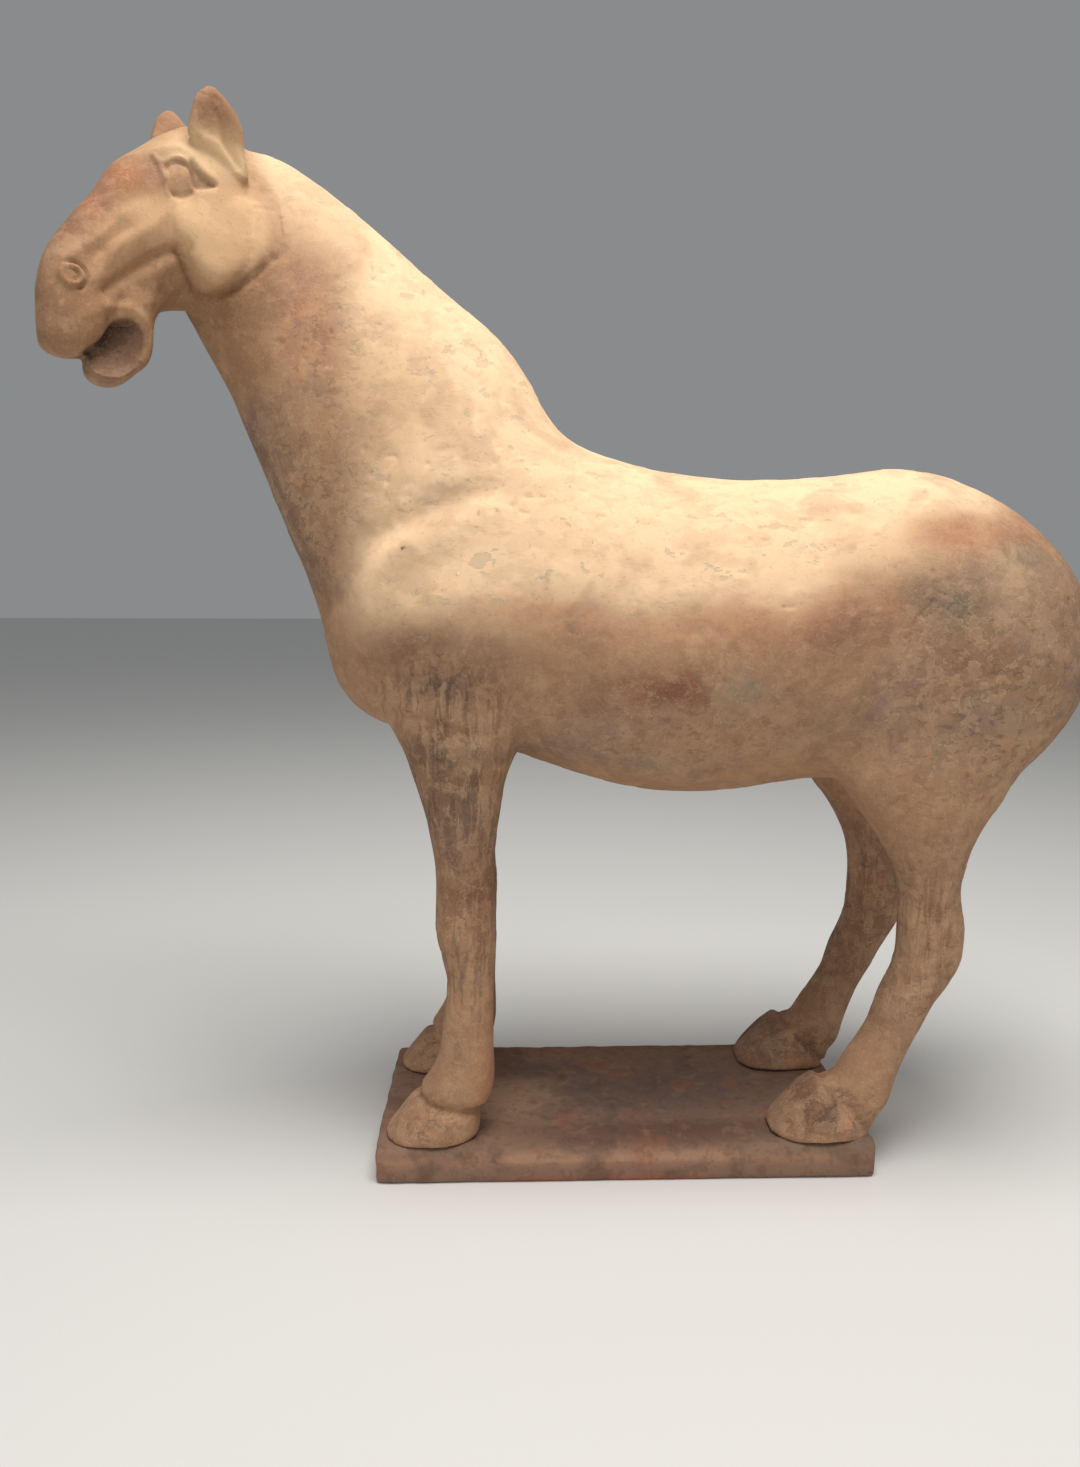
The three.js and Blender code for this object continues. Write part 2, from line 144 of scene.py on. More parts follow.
# %% Trunk stations
TRUNK = [
    [308.8, 353, 308.8, 338, 9, 0, 2, 2, 0],
    [304, 384, 303.5, 309, 42, 0, 2, 2, 0],
    [292, 406, 293, 287, 63, 0, 2.1, 2, 0],
    [271, 428, 275, 267, 81, 0, 2.1, 2.1, 0],
    [246, 444.5, 252, 257, 91, 0, 2.1, 2.7, 0],
    [215, 458.5, 220, 252, 96, 0, 2.1, 3, 0],
    [180, 464, 180, 253, 95, 0, 2.1, 2.8, 0],
    [130, 459, 130, 256, 91, 0, 2.1, 2.2, 0],
    [75, 457, 70, 247.5, 95, 0, 2.1, 2.1, 0],
    [20, 462.5, 10, 249.5, 96, 0, 2.1, 2.1, 0],
    [-28, 477, -40, 263, 94, 0, 2, 2.1, 0],
    [-50, 494, -82, 277, 90, 0, 2, 2.1, 0],
    [-64, 519, -125, 286, 85, 0, 1.9, 2.5, 0],
    [-81, 543, -165, 296, 80, 0, 1.9, 2.6, 0],
    [-101, 561, -191, 319, 73, 0, 1.9, 2.3, 0],
    [-125, 581, -201.5, 358, 63, 0, 1.9, 2.1, 0],
    [-150, 602, -211.5, 389, 55, 0, 1.9, 2.1, 2],
    [-177, 624, -227, 428, 48, -1, 1.9, 2.1, 5],
    [-203, 642, -244, 473, 43, -3, 1.9, 2.1, 10],
    [-228, 655, -259.5, 513, 38, -6, 1.9, 2.1, 18],
    [-250, 655, -279, 551, 29, -10, 2, 2, 26],
    [-266, 645, -292, 578, 20, -15, 2, 2, 32],
]
TRUNK_WIDEST = 0.46
# Soft swellings of the shoulder and the haunch: [x, z, reach along, reach up, height]
SWELLINGS = [[-132, 362, 58, 44, 12], [-205, 400, 26, 30, -3], [225, 350, 60, 60, 5]]


def bells(x, z, table):
    """Several bell shapes, one a row: strength times exp(-(dx / reach)^2 - (dz / reach)^2)."""
    rows = ((((x - cx) / rx) ** 2 + ((z - cz) / rz) ** 2, strength) for cx, cz, rx, rz, strength in table)
    return np.array([strength * np.exp(-far) for far, strength in rows])


def section_grid(table, rings, sides, widest, bulge=lambda x, z: 0):
    """Ovals across a leaning cut. With across = cos a and rise = sin a, both to the power 2 / roundness, a
    point lies on the cut's line at widest + rise times what is left above or below, and half width * across
    off it."""
    table_rows = curve_rows(table, rings).T[:, :, None]
    x_top, z_top, x_bottom, z_bottom, half, shift, upper, lower, degrees = table_rows
    angle = around(sides)
    roundness = np.where(np.sin(angle) > 0, upper, lower)
    across = signed_power(np.cos(angle), 2 / roundness)
    rise = signed_power(np.sin(angle), 2 / roundness)
    up = widest + rise * np.where(rise > 0, 1 - widest, widest)
    x = x_bottom + (x_top - x_bottom) * up
    z = z_bottom + (z_top - z_bottom) * up
    y = across * (half + bulge(x, z))
    lean = np.radians(degrees)
    return np.stack([x - y * np.sin(lean), shift + y * np.cos(lean), z], -1)


trunk_grid = section_grid(TRUNK, 170, 120, TRUNK_WIDEST, lambda x, z: bells(x, z, SWELLINGS).sum(0))
print("trunk grid", trunk_grid.shape)

# %% [markdown]
# ## Legs and hooves
# A leg is a stack of level ovals, each given by [z, front x, back x, half width, distance from the middle].
# The front and back edges were read off the outline, which gives the knee, the hock and the fetlock their
# places.

# %% Leg stations
LEG_OUT = 54
SOLE = horse_low.z / MM
FORELEG = [
    [345, -184, -62, 22, 46],
    [305, -159, -64, 30, 47.5],
    [283, -146, -71.5, 31.5, 48.5],
    [263, -139, -79.5, 29.5, 50.5],
    [240, -131, -83.5, 26.5, 52],
    [220, -126.6, -86.5, 22.5, 53.5],
    [198, -124.3, -87.5, 20, LEG_OUT],
    [165, -125, -86, 19.8, LEG_OUT],
    [146, -121.5, -86.5, 17.5, LEG_OUT],
    [126, -117.8, -87.5, 15.8, LEG_OUT],
    [101, -121, -87.5, 15.8, LEG_OUT],
    [87, -122.6, -87.5, 16.8, LEG_OUT],
    [74, -125.6, -87, 18.6, LEG_OUT],
    [62, -132.5, -87, 20, LEG_OUT],
    [52, -138.5, -88.5, 21, LEG_OUT],
    [44.5, -140.5, -92.5, 20.6, LEG_OUT],
    [37, -141, -98, 20, LEG_OUT],
    [28, -141, -99, 20, LEG_OUT],
]
HIND_LEG = [
    [385, 174, 286, 26, 44],
    [345, 150, 296, 33, 47],
    [300, 136, 277, 37, 49.5],
    [270, 130, 257, 36, 51],
    [250, 145, 245.5, 33, 52.5],
    [231, 160, 231.5, 29, 53.5],
    [212, 172, 223, 25.5, LEG_OUT],
    [190, 180.3, 219, 22, LEG_OUT],
    [160, 181.2, 223.5, 20.5, LEG_OUT],
    [138, 179, 220.5, 19.5, LEG_OUT],
    [113, 168.5, 206.5, 18, LEG_OUT],
    [98, 164, 199, 17.5, LEG_OUT],
    [84, 156, 191.5, 17.8, LEG_OUT],
    [73, 149, 187, 18.8, LEG_OUT],
    [62, 142.5, 183, 20, LEG_OUT],
    [53, 139, 180, 20.8, LEG_OUT],
    [46, 137, 178.5, 20.8, LEG_OUT],
    [40, 138, 175.5, 20, LEG_OUT],
    [33, 139, 169.5, 19.5, LEG_OUT],
    [SOLE, 139, 168, 20, LEG_OUT],
]
FORE_HOOF = [
    [52, -134, -104, 14, LEG_OUT],
    [48.5, -141.5, -99, 20.5, LEG_OUT],
    [43.5, -145.8, -97.5, 23.6, LEG_OUT],
    [36, -151.5, -96.8, 25.4, LEG_OUT],
    [29, -157, -96.6, 26.4, LEG_OUT],
    [SOLE, -160, -98.5, 26.6, LEG_OUT],
]
HIND_HOOF = [
    [59.5, 133, 138, 8, LEG_OUT],
    [56, 127, 142.5, 16, LEG_OUT],
    [50, 119, 147.5, 22, LEG_OUT],
    [42, 111, 154, 25, LEG_OUT],
    [34, 103.5, 159, 26.2, LEG_OUT],
    [28, 99, 162, 26.8, LEG_OUT],
    [SOLE, 97, 164, 26.8, LEG_OUT],
]


def level_grid(table, rings, sides, side, roundness):
    """Level ovals: x runs from the front to the back edge with cos a, y from the leg's middle with sin a,
    both to the power 2 / roundness. side is -1 for the near leg and 1 for the far one."""
    z, front, back, half, out = curve_rows(table, rings).T[:, :, None]
    angle = around(sides)
    x = (front + back) / 2 + (back - front) / 2 * signed_power(np.cos(angle), 2 / roundness)
    y = side * out + half * signed_power(np.sin(angle), 2 / roundness)
    return np.stack(np.broadcast_arrays(x, y, z), -1)


leg_grids = []
for side in (-1, 1):
    leg_grids.append(level_grid(FORELEG, 120, 64, side, 2.2))
    leg_grids.append(level_grid(HIND_LEG, 130, 64, side, 2.1))
    leg_grids.append(level_grid(FORE_HOOF, 30, 72, side, 2.4))
    leg_grids.append(level_grid(HIND_HOOF, 30, 72, side, 2.8))
print(len(leg_grids), "leg and hoof grids, sole at", round(SOLE, 2))

# %% [markdown]
# ## The head has a frame of its own
# The head is turned 35 degrees to the horse's left. Its stations are therefore written in a frame that
# turns with it: forward along the nose, out to the horse's left, and up. Both sides of the face are made
# alike, and one turn puts them in place.

# %% Head frame
HEAD_TURN = math.radians(35)
HEAD_PIVOT = np.array([-250.0, -10.0, 0.0])
HEAD_AXES = np.array([
    [-math.cos(HEAD_TURN), -math.sin(HEAD_TURN), 0],
    [math.sin(HEAD_TURN), -math.cos(HEAD_TURN), 0],
    [0, 0, 1],
])


def on_head(points):
    """Pivot plus forward, out and up times the head's three axes."""
    return HEAD_PIVOT + points @ HEAD_AXES


def in_head(points):
    """The same turn undone, which gives forward, out and up of a point."""
    return (points - HEAD_PIVOT) @ HEAD_AXES.T


print("the nose points along", HEAD_AXES[0].round(2))


# %% Head stations
HEAD = [
    [-14, 650, -4, 566, 24, 0, 2, 2.2, 0],
    [4, 662, 10, 557, 31, 0, 2.2, 1.9, 0],
    [26, 664, 26, 555, 33.5, 0, 2.4, 1.7, 0],
    [46, 655, 38, 555, 31.5, 0, 2.6, 1.7, 0],
    [62, 643, 48, 553, 27.5, 0, 2.6, 1.9, 0],
    [76, 632, 57, 553, 24.5, 0, 2.5, 2.2, 0],
    [86.5, 616, 67, 554, 22.5, 0, 2.5, 2.2, 0],
    [97.5, 602.5, 76, 549, 21.5, 0, 2.5, 2.3, 0],
    [108, 589, 83, 538, 22, 0, 2.4, 2.6, 0],
    [116, 576, 88, 529, 22.5, 0, 2.4, 3, 0],
    [120.5, 560, 92.5, 524, 21.5, 0, 2.4, 3, 0],
    [121.5, 545, 98, 520, 19.5, 0, 2.4, 3, 0],
    [121.5, 534.5, 105, 518.8, 17, 0, 2.4, 2.6, 0],
    [121, 527.5, 112, 519.8, 13, 0, 2.2, 2.2, 0],
    [119.5, 524.5, 116, 521.5, 6, 0, 2, 2, 0],
]
JAW = [
    [44, 560, 66, 574, 19, 0, 2, 2, 0],
    [54.5, 547, 82, 558, 18.5, 0, 2.2, 2.2, 0],
    [57.3, 533, 88, 544, 18, 0, 2.3, 2.5, 0],
    [61, 520.5, 92, 535, 17.5, 0, 2.3, 2.7, 0],
    [70, 511, 95, 528, 17, 0, 2.2, 2.7, 0],
    [79, 505, 97, 521.5, 16.5, 0, 2.2, 2.5, 0],
    [87.5, 504.5, 97, 517.5, 14.5, 0, 2, 2.2, 0],
    [94, 508, 97, 514, 8, 0, 2, 2, 0],
]
# Ear stations: [z, forward, half length, half thickness, out from the middle]
EAR = [
    [630, 6, 4, 3.5, 29],
    [639, 13, 9.5, 4, 28.5],
    [648, 21.5, 17, 4.8, 28.3],
    [657, 22, 16.5, 6.3, 29.3],
    [665, 23, 13.5, 6.3, 30],
    [672, 24.8, 9, 5.2, 30.3],
    [678, 25.3, 2.5, 2.2, 30],
]
# The far ear is pricked a little further forward and higher.
FAR_EAR_SHIFT = [4, 0, 5]


def ear_grid(side):
    """Level ovals, half length along the nose and half thickness across, that shrink to the tip."""
    z, forward, long, thick, out = curve_rows(EAR, 40).T[:, :, None]
    angle = around(40)
    ring = [forward + long * np.cos(angle), side * out + thick * np.sin(angle), z]
    ring = np.stack(np.broadcast_arrays(*ring), -1)
    return ring + (np.array(FAR_EAR_SHIFT) if side < 0 else 0)


def pressed_grid(outline, middle, rings, side, lean=0.0):
    """Ring k is middle + share_k * (outline - middle), at a set distance from the middle of the head. With
    a lean it comes in by that much for each millimetre above the middle."""
    line = curve_rows(outline, 80, closed=True)
    out, share = curve_rows(rings, 30).T[:, :, None]
    flat = np.array(middle) + share[..., None] * (line - middle)
    out = out - lean * np.maximum(flat[..., 1] - middle[1], 0)
    return np.stack(np.broadcast_arrays(flat[..., 0], side * out, flat[..., 1]), -1)


CHEEK_OUTLINE = [
    (-1, 620), (-5, 605), (-3.5, 589.5), (7, 576.5), (19, 568), (28.5, 567), (36.5, 572.5), (45.5, 585),
    (51, 595), (49, 607), (38, 617), (24, 622), (10, 624),
]
CHEEK_MIDDLE = (24, 596)
# Each ring of the cheek plate: how far out of the middle of the head, and its share of the outline
CHEEK_RINGS = [
    (8, 1), (23, 1), (28.5, 0.98), (31.8, 0.94), (33.7, 0.87), (34.8, 0.75), (35.4, 0.45), (35.5, 0.1),
]
HEAD_WIDEST = 0.45
JAW_WIDEST = 0.5
CHEEK_LEAN = 0.12
head_grids = [section_grid(HEAD, 120, 110, HEAD_WIDEST), section_grid(JAW, 60, 72, JAW_WIDEST)]
for side in (1, -1):
    head_grids += [pressed_grid(CHEEK_OUTLINE, CHEEK_MIDDLE, CHEEK_RINGS, side, CHEEK_LEAN), ear_grid(side)]
head_grids = [on_head(grid) for grid in head_grids]
print(len(head_grids), "head grids")

# %% [markdown]
# ## From grids to one skin
# The grids overlap like lumps of clay that are still to be pressed together. A voxel remesh does what the
# potter's thumb does: it keeps only the outer skin and covers it with even small squares. It needs closed
# shells, so each grid gets a fan on both ends first.

# %% Closed shells and modifiers
def closed_shell(grid):
    """Triangles between neighbouring rings, and a fan around the middle of the first and the last ring."""
    rings, sides = grid.shape[:2]
    points = np.vstack([grid.reshape(-1, 3), grid[0].mean(0), grid[-1].mean(0)])
    ring, side = np.meshgrid(np.arange(rings - 1), np.arange(sides), indexing="ij")
    a = (ring * sides + side).ravel()
    b = (ring * sides + (side + 1) % sides).ravel()
    first = np.arange(sides)
    last = first + (rings - 1) * sides
    fans = [np.stack([np.roll(first, -1), first, np.full(sides, rings * sides)], -1)]
    fans.append(np.stack([last, np.roll(last, -1), np.full(sides, rings * sides + 1)], -1))
    faces = np.vstack([np.stack([a, b, b + sides], -1), np.stack([a, b + sides, a + sides], -1), *fans])
    corner = points[faces]
    volume = np.einsum("ij,ij->i", corner[:, 0], np.cross(corner[:, 1], corner[:, 2])).sum()
    return points, faces if volume > 0 else faces[:, ::-1]


def joined(shells):
    """One list of points and faces from several, with each shell's faces counted on from the last one's."""
    starts = np.cumsum([0] + [len(points) for points, faces in shells[:-1]])
    faces = np.vstack([faces + start for (points, faces), start in zip(shells, starts)])
    return np.vstack([points for points, faces in shells]), faces


def mesh_of(name, points, faces):
    """Mesh whose points are drawing millimetres times the unit, with faces of three or four corners."""
    mesh = bpy.data.meshes.new(name)
    corners = faces.shape[1]
    mesh.vertices.add(len(points))
    mesh.vertices.foreach_set("co", (points * MM).astype(np.float32).ravel())
    mesh.loops.add(faces.size)
    mesh.loops.foreach_set("vertex_index", faces.astype(np.int32).ravel())
    mesh.polygons.add(len(faces))
    mesh.polygons.foreach_set("loop_start", np.arange(0, faces.size, corners, dtype=np.int32))
    mesh.update(calc_edges=True)
    return mesh


def points_of(mesh):
    """The points of a mesh in drawing millimetres."""
    points = np.empty(len(mesh.vertices) * 3, np.float32)
    mesh.vertices.foreach_get("co", points)
    return points.reshape(-1, 3).astype(float) / MM


def arrays_of(mesh):
    """Points, and faces with as many corners as the first one has."""
    faces = np.empty(len(mesh.loops), np.int32)
    mesh.loops.foreach_get("vertex_index", faces)
    return points_of(mesh), faces.reshape(-1, mesh.polygons[0].loop_total)


def modified(points, faces, kind, settings):
    """The mesh after one modifier, which is applied by reading the evaluated object."""
    item = placed("work", mesh_of("work", points, faces))
    step = item.modifiers.new("step", kind)
    for name, value in settings.items():
        setattr(step, name, value)
    ready = bpy.data.meshes.new_from_object(item.evaluated_get(bpy.context.evaluated_depsgraph_get()))
    bpy.data.objects.remove(item)
    return ready


def fused(shells, grain):
    """Outer skin of overlapping closed shells, in squares of about the grain's size in millimetres."""
    points, faces = joined(shells)
    return arrays_of(modified(points, faces, "REMESH", {"mode": "VOXEL", "voxel_size": grain * MM}))


# %% Smoothing tools
def edges_of(faces):
    """Each edge once, as pairs of point numbers."""
    pairs = np.stack([faces, np.roll(faces, -1, axis=1)], -1).reshape(-1, 2)
    return np.unique(np.sort(pairs, axis=1), axis=0)


def neighbour_mean(points, edges):
    """For each point, the mean of the points at the other ends of its edges."""
    count = np.maximum(np.bincount(edges.ravel(), minlength=len(points)), 1)
    total = [np.bincount(edges[:, 0], points[edges[:, 1], k], len(points))
             + np.bincount(edges[:, 1], points[edges[:, 0], k], len(points)) for k in range(3)]
    return np.stack(total, -1) / count[:, None]


def relaxed(points, edges, weight, rounds):
    """In each round a point moves towards its neighbours' mean by its own weight, from 0 to 1."""
    for _ in range(rounds):
        points = points + weight[:, None] * (neighbour_mean(points, edges) - points)
    return points


def normals_of(points, faces):
    """Cross product of each face's two diagonals, summed at its corners and made one long."""
    face = np.cross(points[faces[:, 2]] - points[faces[:, 0]], points[faces[:, -1]] - points[faces[:, 1]])
    repeated = np.repeat(face, faces.shape[1], axis=0)
    total = np.stack([np.bincount(faces.ravel(), repeated[:, k], len(points)) for k in range(3)], -1)
    return total / np.maximum(np.linalg.norm(total, axis=1, keepdims=True), 1e-9)


# %% [markdown]
# ## Press the legs onto the body
# Where a leg meets the body, the clay was smoothed over with a thumb. The skin is relaxed there for many
# rounds, and only a little elsewhere.

# %% Body skin
BODY_GRAIN = 2.3
# Places that get smoothed: [x, z, reach along, reach up, strength]
THUMBED = [[-122, 322, 75, 42, 0.6], [215, 330, 95, 75, 1.0], [-118, 62, 30, 14, 0.1], [165, 62, 30, 14, 0.1]]
THUMB_ROUNDS = 90
THUMB_WEIGHT = 0.6

body_points, body_faces = fused([closed_shell(g) for g in [trunk_grid, *leg_grids]], BODY_GRAIN)
body_edges = edges_of(body_faces)
thumb = bells(body_points[:, 0], body_points[:, 2], THUMBED).max(0)
body_points = relaxed(body_points, body_edges, THUMB_WEIGHT * np.clip(thumb * 1.4, 0, 1), THUMB_ROUNDS)
print("body skin", len(body_points), "points")

# %% [markdown]
# ## The open mouth
# The lower jaw is a thick spoon. Seen from the side its hollow is a round bowl with a raised rim, deepest
# under the upper lip. The bowl is a stack of rings of one outline, each shrunk towards the deepest point,
# and it is cut out of the jaw on both sides. The clay in the middle stays, so nothing can be seen through
# the mouth.

# %% Mouth bowls
BOWL_OUTLINE = [
    (101.5, 519.5), (95.5, 524.5), (90, 530), (85.5, 537), (79.5, 541.5), (72.5, 541.6), (67.5, 537.5),
    (65.4, 531), (66, 522.5), (69.5, 515.5), (76, 510), (84, 507.5), (92, 508.5), (98.5, 513),
]
BOWL_DEEPEST = (87.5, 530.5)
# How far out of the middle each ring lies, and its share of the outline
BOWL_RINGS = [(36, 1.0), (17.5, 1.0), (14, 0.97), (10, 0.9), (6.8, 0.76), (4.6, 0.55), (3.4, 0.28), (3, 0.05)]


def cut_out(points, faces, cutter):
    """What is left of one closed skin after another is taken away from it, as triangles."""
    tool = placed("cutter", mesh_of("cutter", *cutter))
    settings = {"operation": "DIFFERENCE", "solver": "MANIFOLD", "object": tool}
    whole = modified(points, faces, "BOOLEAN", settings)
    bpy.data.objects.remove(tool)
    whole.calc_loop_triangles()
    corners = np.empty(len(whole.loop_triangles) * 3, np.int32)
    whole.loop_triangles.foreach_get("vertices", corners)
    return points_of(whole), corners.reshape(-1, 3)


HEAD_GRAIN = 1.1
head_points, head_faces = fused([closed_shell(g) for g in head_grids], HEAD_GRAIN)
for side in (1, -1):
    bowl = closed_shell(on_head(pressed_grid(BOWL_OUTLINE, BOWL_DEEPEST, BOWL_RINGS, side)))
    head_points, head_faces = cut_out(head_points, head_faces, bowl)
print("head with its mouth bowls", len(head_points), "points")

# %% [markdown]
# ## One skin for the whole horse
# Body and head are fused at a fine grain, and the join behind the cheeks is smoothed. From here on the
# horse is one list of points that numpy can push in and out, like a modelling tool on leather-hard clay.

# %% Whole skin
GRAIN = 1.3
SKIN_JOIN = [[-262, 590, 24, 60, 1.0], [-258, 545, 22, 22, 1.0], [-238, 652, 20, 14, 1.0]]
THROAT = [[26, 551, 17, 8, 1.0]]
points, faces = fused([(body_points, np.vstack([body_faces[:, :3], body_faces[:, [0, 2, 3]]])),
                       (head_points, head_faces)], GRAIN)
edges = edges_of(faces)
points = relaxed(points, edges, np.full(len(points), 0.5), 2)
head_place = in_head(points)
behind = smooth_step(2, -8, head_place[:, 0]) * bells(points[:, 0], points[:, 2], SKIN_JOIN).max(0)
behind = np.maximum(behind, bells(head_place[:, 0], head_place[:, 2], THROAT).max(0))
JOIN_ROUNDS = 60
points = relaxed(points, edges, THUMB_WEIGHT * np.clip(behind * 1.3, 0, 1), JOIN_ROUNDS)
normals = normals_of(points, faces)
print("whole skin", len(points), "points,", len(faces), "faces")

# %% [markdown]
# ## Modelling tools for relief
# The face, the creases and the wear are relief on the skin. A feature is drawn in side view, on the plane
# of forward and up, and pushes the skin along its normals. It acts only where the skin faces outward, so
# that the inner side of an ear stays whole. Two tools do nearly everything: a strip along a path, and a
# plate inside an outline.

# %% Strips and plates
def distance_to(spots, line):
    """Shortest distance from each spot to a chain of straight steps, with the foot kept within its step."""
    best = np.full(len(spots), np.inf)
    for a, b in zip(line[:-1], line[1:]):
        step = b - a
        share = np.clip((spots - a) @ step / (step @ step), 0, 1)
        best = np.minimum(best, np.linalg.norm(spots - a - share[:, None] * step, axis=1))
    return best


def strip(spots, path, width, height):
    """Ridge or groove along a smooth path: height times exp(-(distance / width)^2)."""
    line = curve_rows(path, 8 * len(path))
    return height * np.exp(-((distance_to(spots, line) / width) ** 2))


def inside(spots, line):
    """A spot is inside if a level ray from it crosses the outline an odd number of times."""
    crossed = np.zeros(len(spots), bool)
    for (ax, az), (bx, bz) in zip(line[:-1], line[1:]):
        if az != bz:
            spans = (az > spots[:, 1]) != (bz > spots[:, 1])
            crossed ^= spans & (spots[:, 0] < ax + (spots[:, 1] - az) * (bx - ax) / (bz - az))
    return crossed


def plate(spots, outline, edge, height):
    """Raised or sunk field: height times a smooth step of the signed distance to its outline."""
    line = curve_rows(outline, 6 * len(outline), closed=True)
    line = np.vstack([line, line[:1]])
    depth = np.where(inside(spots, line), 1, -1) * distance_to(spots, line)
    return height * smooth_step(-edge / 2, edge / 2, depth)


# %% [markdown]
# ## The face
# The photographed side shows a round cheek plate, a sunk eye between two thin lids, a shadowed hollow
# behind it, a coiled nostril and long folds from the cheek to the lips. Both sides of the head get the same
# features.

# %% Face relief
SOCKET_OUTLINE = [
    (51.3, 613), (52.2, 624), (52.6, 631), (47.5, 634.5), (42, 634), (38, 630), (36.5, 624), (37.5, 617),
    (44, 612),
]
SOCKET_CORNER = [(38.5, 634), (34, 628.5), (29, 625), (24.5, 622.3), (30, 619.6), (37.5, 618.6), (39, 626)]
EAR_HOLLOW = [
    (24, 672), (17, 662), (13, 650), (10, 638), (16, 642), (22, 648), (31, 650), (34, 655), (30, 665),
]
# Sunk fields of the face: [outline, width of the edge, height]
FACE_PLATES = [(SOCKET_OUTLINE, 3.0, -2.0), (SOCKET_CORNER, 3.0, -2.8), (EAR_HOLLOW, 4.0, -1.4)]
EYE_PLACE = np.array([45.4, 621.8])
EYE_HALF = np.array([7.8, 9.8])
EYE_DOME = 2.9
CHEEK_EDGE = [(47, 582), (38, 569.5), (30, 563.5), (19, 564), (6, 572.5), (-5, 584)]
# Folds and lids of the face: [path, width, height]
FACE_STRIPS = [
    ([(48.6, 607.4), (60.8, 593.9), (79.6, 580.7), (95, 560)], 4.2, 1.4),
    ([(77.4, 598.5), (87.3, 587.4), (100.6, 575.8), (108.9, 569.1)], 2.6, 1.2),
    ([(97, 568), (86, 581), (73, 592)], 2.2, -0.7),
    ([(50, 576.5), (65.7, 564.6), (84.6, 552)], 4.0, 1.2),
    ([(104, 537), (95, 542), (86.8, 546.2)], 3.6, 0.8),
    ([(88, 546.2), (75, 547.8), (67.5, 544), (62.6, 536), (62.4, 525), (66.5, 514.5)], 3.0, 1.9),
    ([(44, 584), (53.7, 581), (64.3, 574.5), (77.5, 564), (88, 555)], 3.2, -3.4),
    (CHEEK_EDGE, 2.4, -2.6),
    ([(-6, 588), (-9, 602), (-7, 618), (-1, 632)], 4.6, -1.5),
    ([(57.1, 635), (54, 626), (51.8, 613.6)], 1.5, 1.9),
    ([(53, 631), (44, 635), (38, 629.5), (37, 623), (38.5, 617)], 1.4, 1.5),
    ([(55, 638.5), (43, 641), (36, 636), (31.5, 630), (26, 626.5)], 2.6, 1.0),
    ([(24, 664), (18.8, 650), (10.6, 636)], 2.4, -1.8),
    ([(57, 556), (52, 566), (44, 570)], 3.0, -1.2),
    ([(62, 552), (60, 560), (66, 566)], 3.5, 1.0),
    ([(88, 600), (76, 606), (64, 611)], 5, -1.0),
]
NOSTRIL_PLACE = np.array([106.2, 560.4])


def open_ring(radius, angle, middle, width, start, end):
    """Bell across a ring, exp(-((radius - middle) / width)^2), faded in and out where the ring is open."""
    return np.exp(-(((radius - middle) / width) ** 2)) * smooth_step(*start, angle) * smooth_step(*end, angle)


def nostril_coil(spots):
    """Two open rings, one in the other, like the start of a spiral: grooves at radii 7.4 and 2.8 mm with a
    raised roll between them."""
    off = spots - NOSTRIL_PLACE
    radius = np.hypot(off[:, 0], off[:, 1])
    angle = np.degrees(np.arctan2(off[:, 1], -off[:, 0]))
    outer = open_ring(radius, angle, 7.4, 1.1, (-95, -50), (130, 95))
    inner = open_ring(radius, angle, 2.8, 0.9, (-110, -70), (120, 80))
    roll = np.exp(-(((radius - 5.2) / 1.5) ** 2))
    button = smooth_step(9, 5, radius)
    return 1.3 * button + 0.9 * roll - 2.6 * outer - 1.6 * inner


def eyeball(spots):
    """Flat dome, its height times the square root of 1 - (dx / half)^2 - (dz / half)^2."""
    off = np.sum(((spots - EYE_PLACE) / EYE_HALF) ** 2, axis=1)
    return EYE_DOME * np.sqrt(np.maximum(1 - off, 0))


def face_relief(spots):
    """Sum of the eyeball, the nostril, the sunk fields and the strips."""
    relief = eyeball(spots) + nostril_coil(spots)
    relief += sum(plate(spots, outline, edge, height) for outline, edge, height in FACE_PLATES)
    return relief + sum(strip(spots, path, width, height) for path, width, height in FACE_STRIPS)


head_place = in_head(points)
on_face = (head_place[:, 0] > -12) & (head_place[:, 2] > 500) & (np.abs(head_place[:, 1]) > 2)
side_spots = head_place[on_face][:, [0, 2]]
out = head_place[on_face, 1]
facing = smooth_step(0.05, 0.55, np.sign(out) * (normals[on_face] @ HEAD_AXES[1]))
share = facing * smooth_step(3, 9, np.abs(out))
points[on_face] += normals[on_face] * (share * face_relief(side_spots))[:, None]
print("face relief on", int(on_face.sum()), "points")

# %% [markdown]
# ## Creases of the body
# The shoulder stands proud of the neck with a soft crease between them, and another crease marks where the
# leg leaves the chest. A groove runs round each forehoof, and slants across each hind hoof.

# %% Body relief
SHOULDER_EDGE = [
    (-212, 369), (-186, 378), (-175, 392), (-166, 409), (-150, 419), (-130, 430), (-108, 438), (-86, 444),
]
BODY_STRIPS = [
    (SHOULDER_EDGE, 8, -3.4),
    ([(-164, 372), (-162, 388), (-150, 402), (-132, 411), (-108, 420)], 11, 2.6),
    ([(-160, 312), (-146, 306), (-127, 303), (-107, 295), (-86, 292)], 5, -2.2),
    ([(138, 262), (150, 290), (152, 330), (160, 372)], 14, -2.2),
    ([(-146, 53.5), (-136, 51.5), (-122, 49), (-109, 46), (-96, 43)], 3.0, -4.4),
    ([(-160, 317), (-146, 311), (-127, 308), (-107, 300)], 1.8, 1.0),
    ([(178, 396), (178, 380), (168, 366), (164, 346)], 1.3, -1.1),
    ([(134, 58), (144, 46.5), (152, 37), (164, 25)], 2.6, -2.2),
    ([(130, 54), (140, 43), (148, 34), (158, 24)], 3.4, 0.9),
]
body_side = (np.abs(points[:, 1]) > 6) & (head_place[:, 0] < -16)
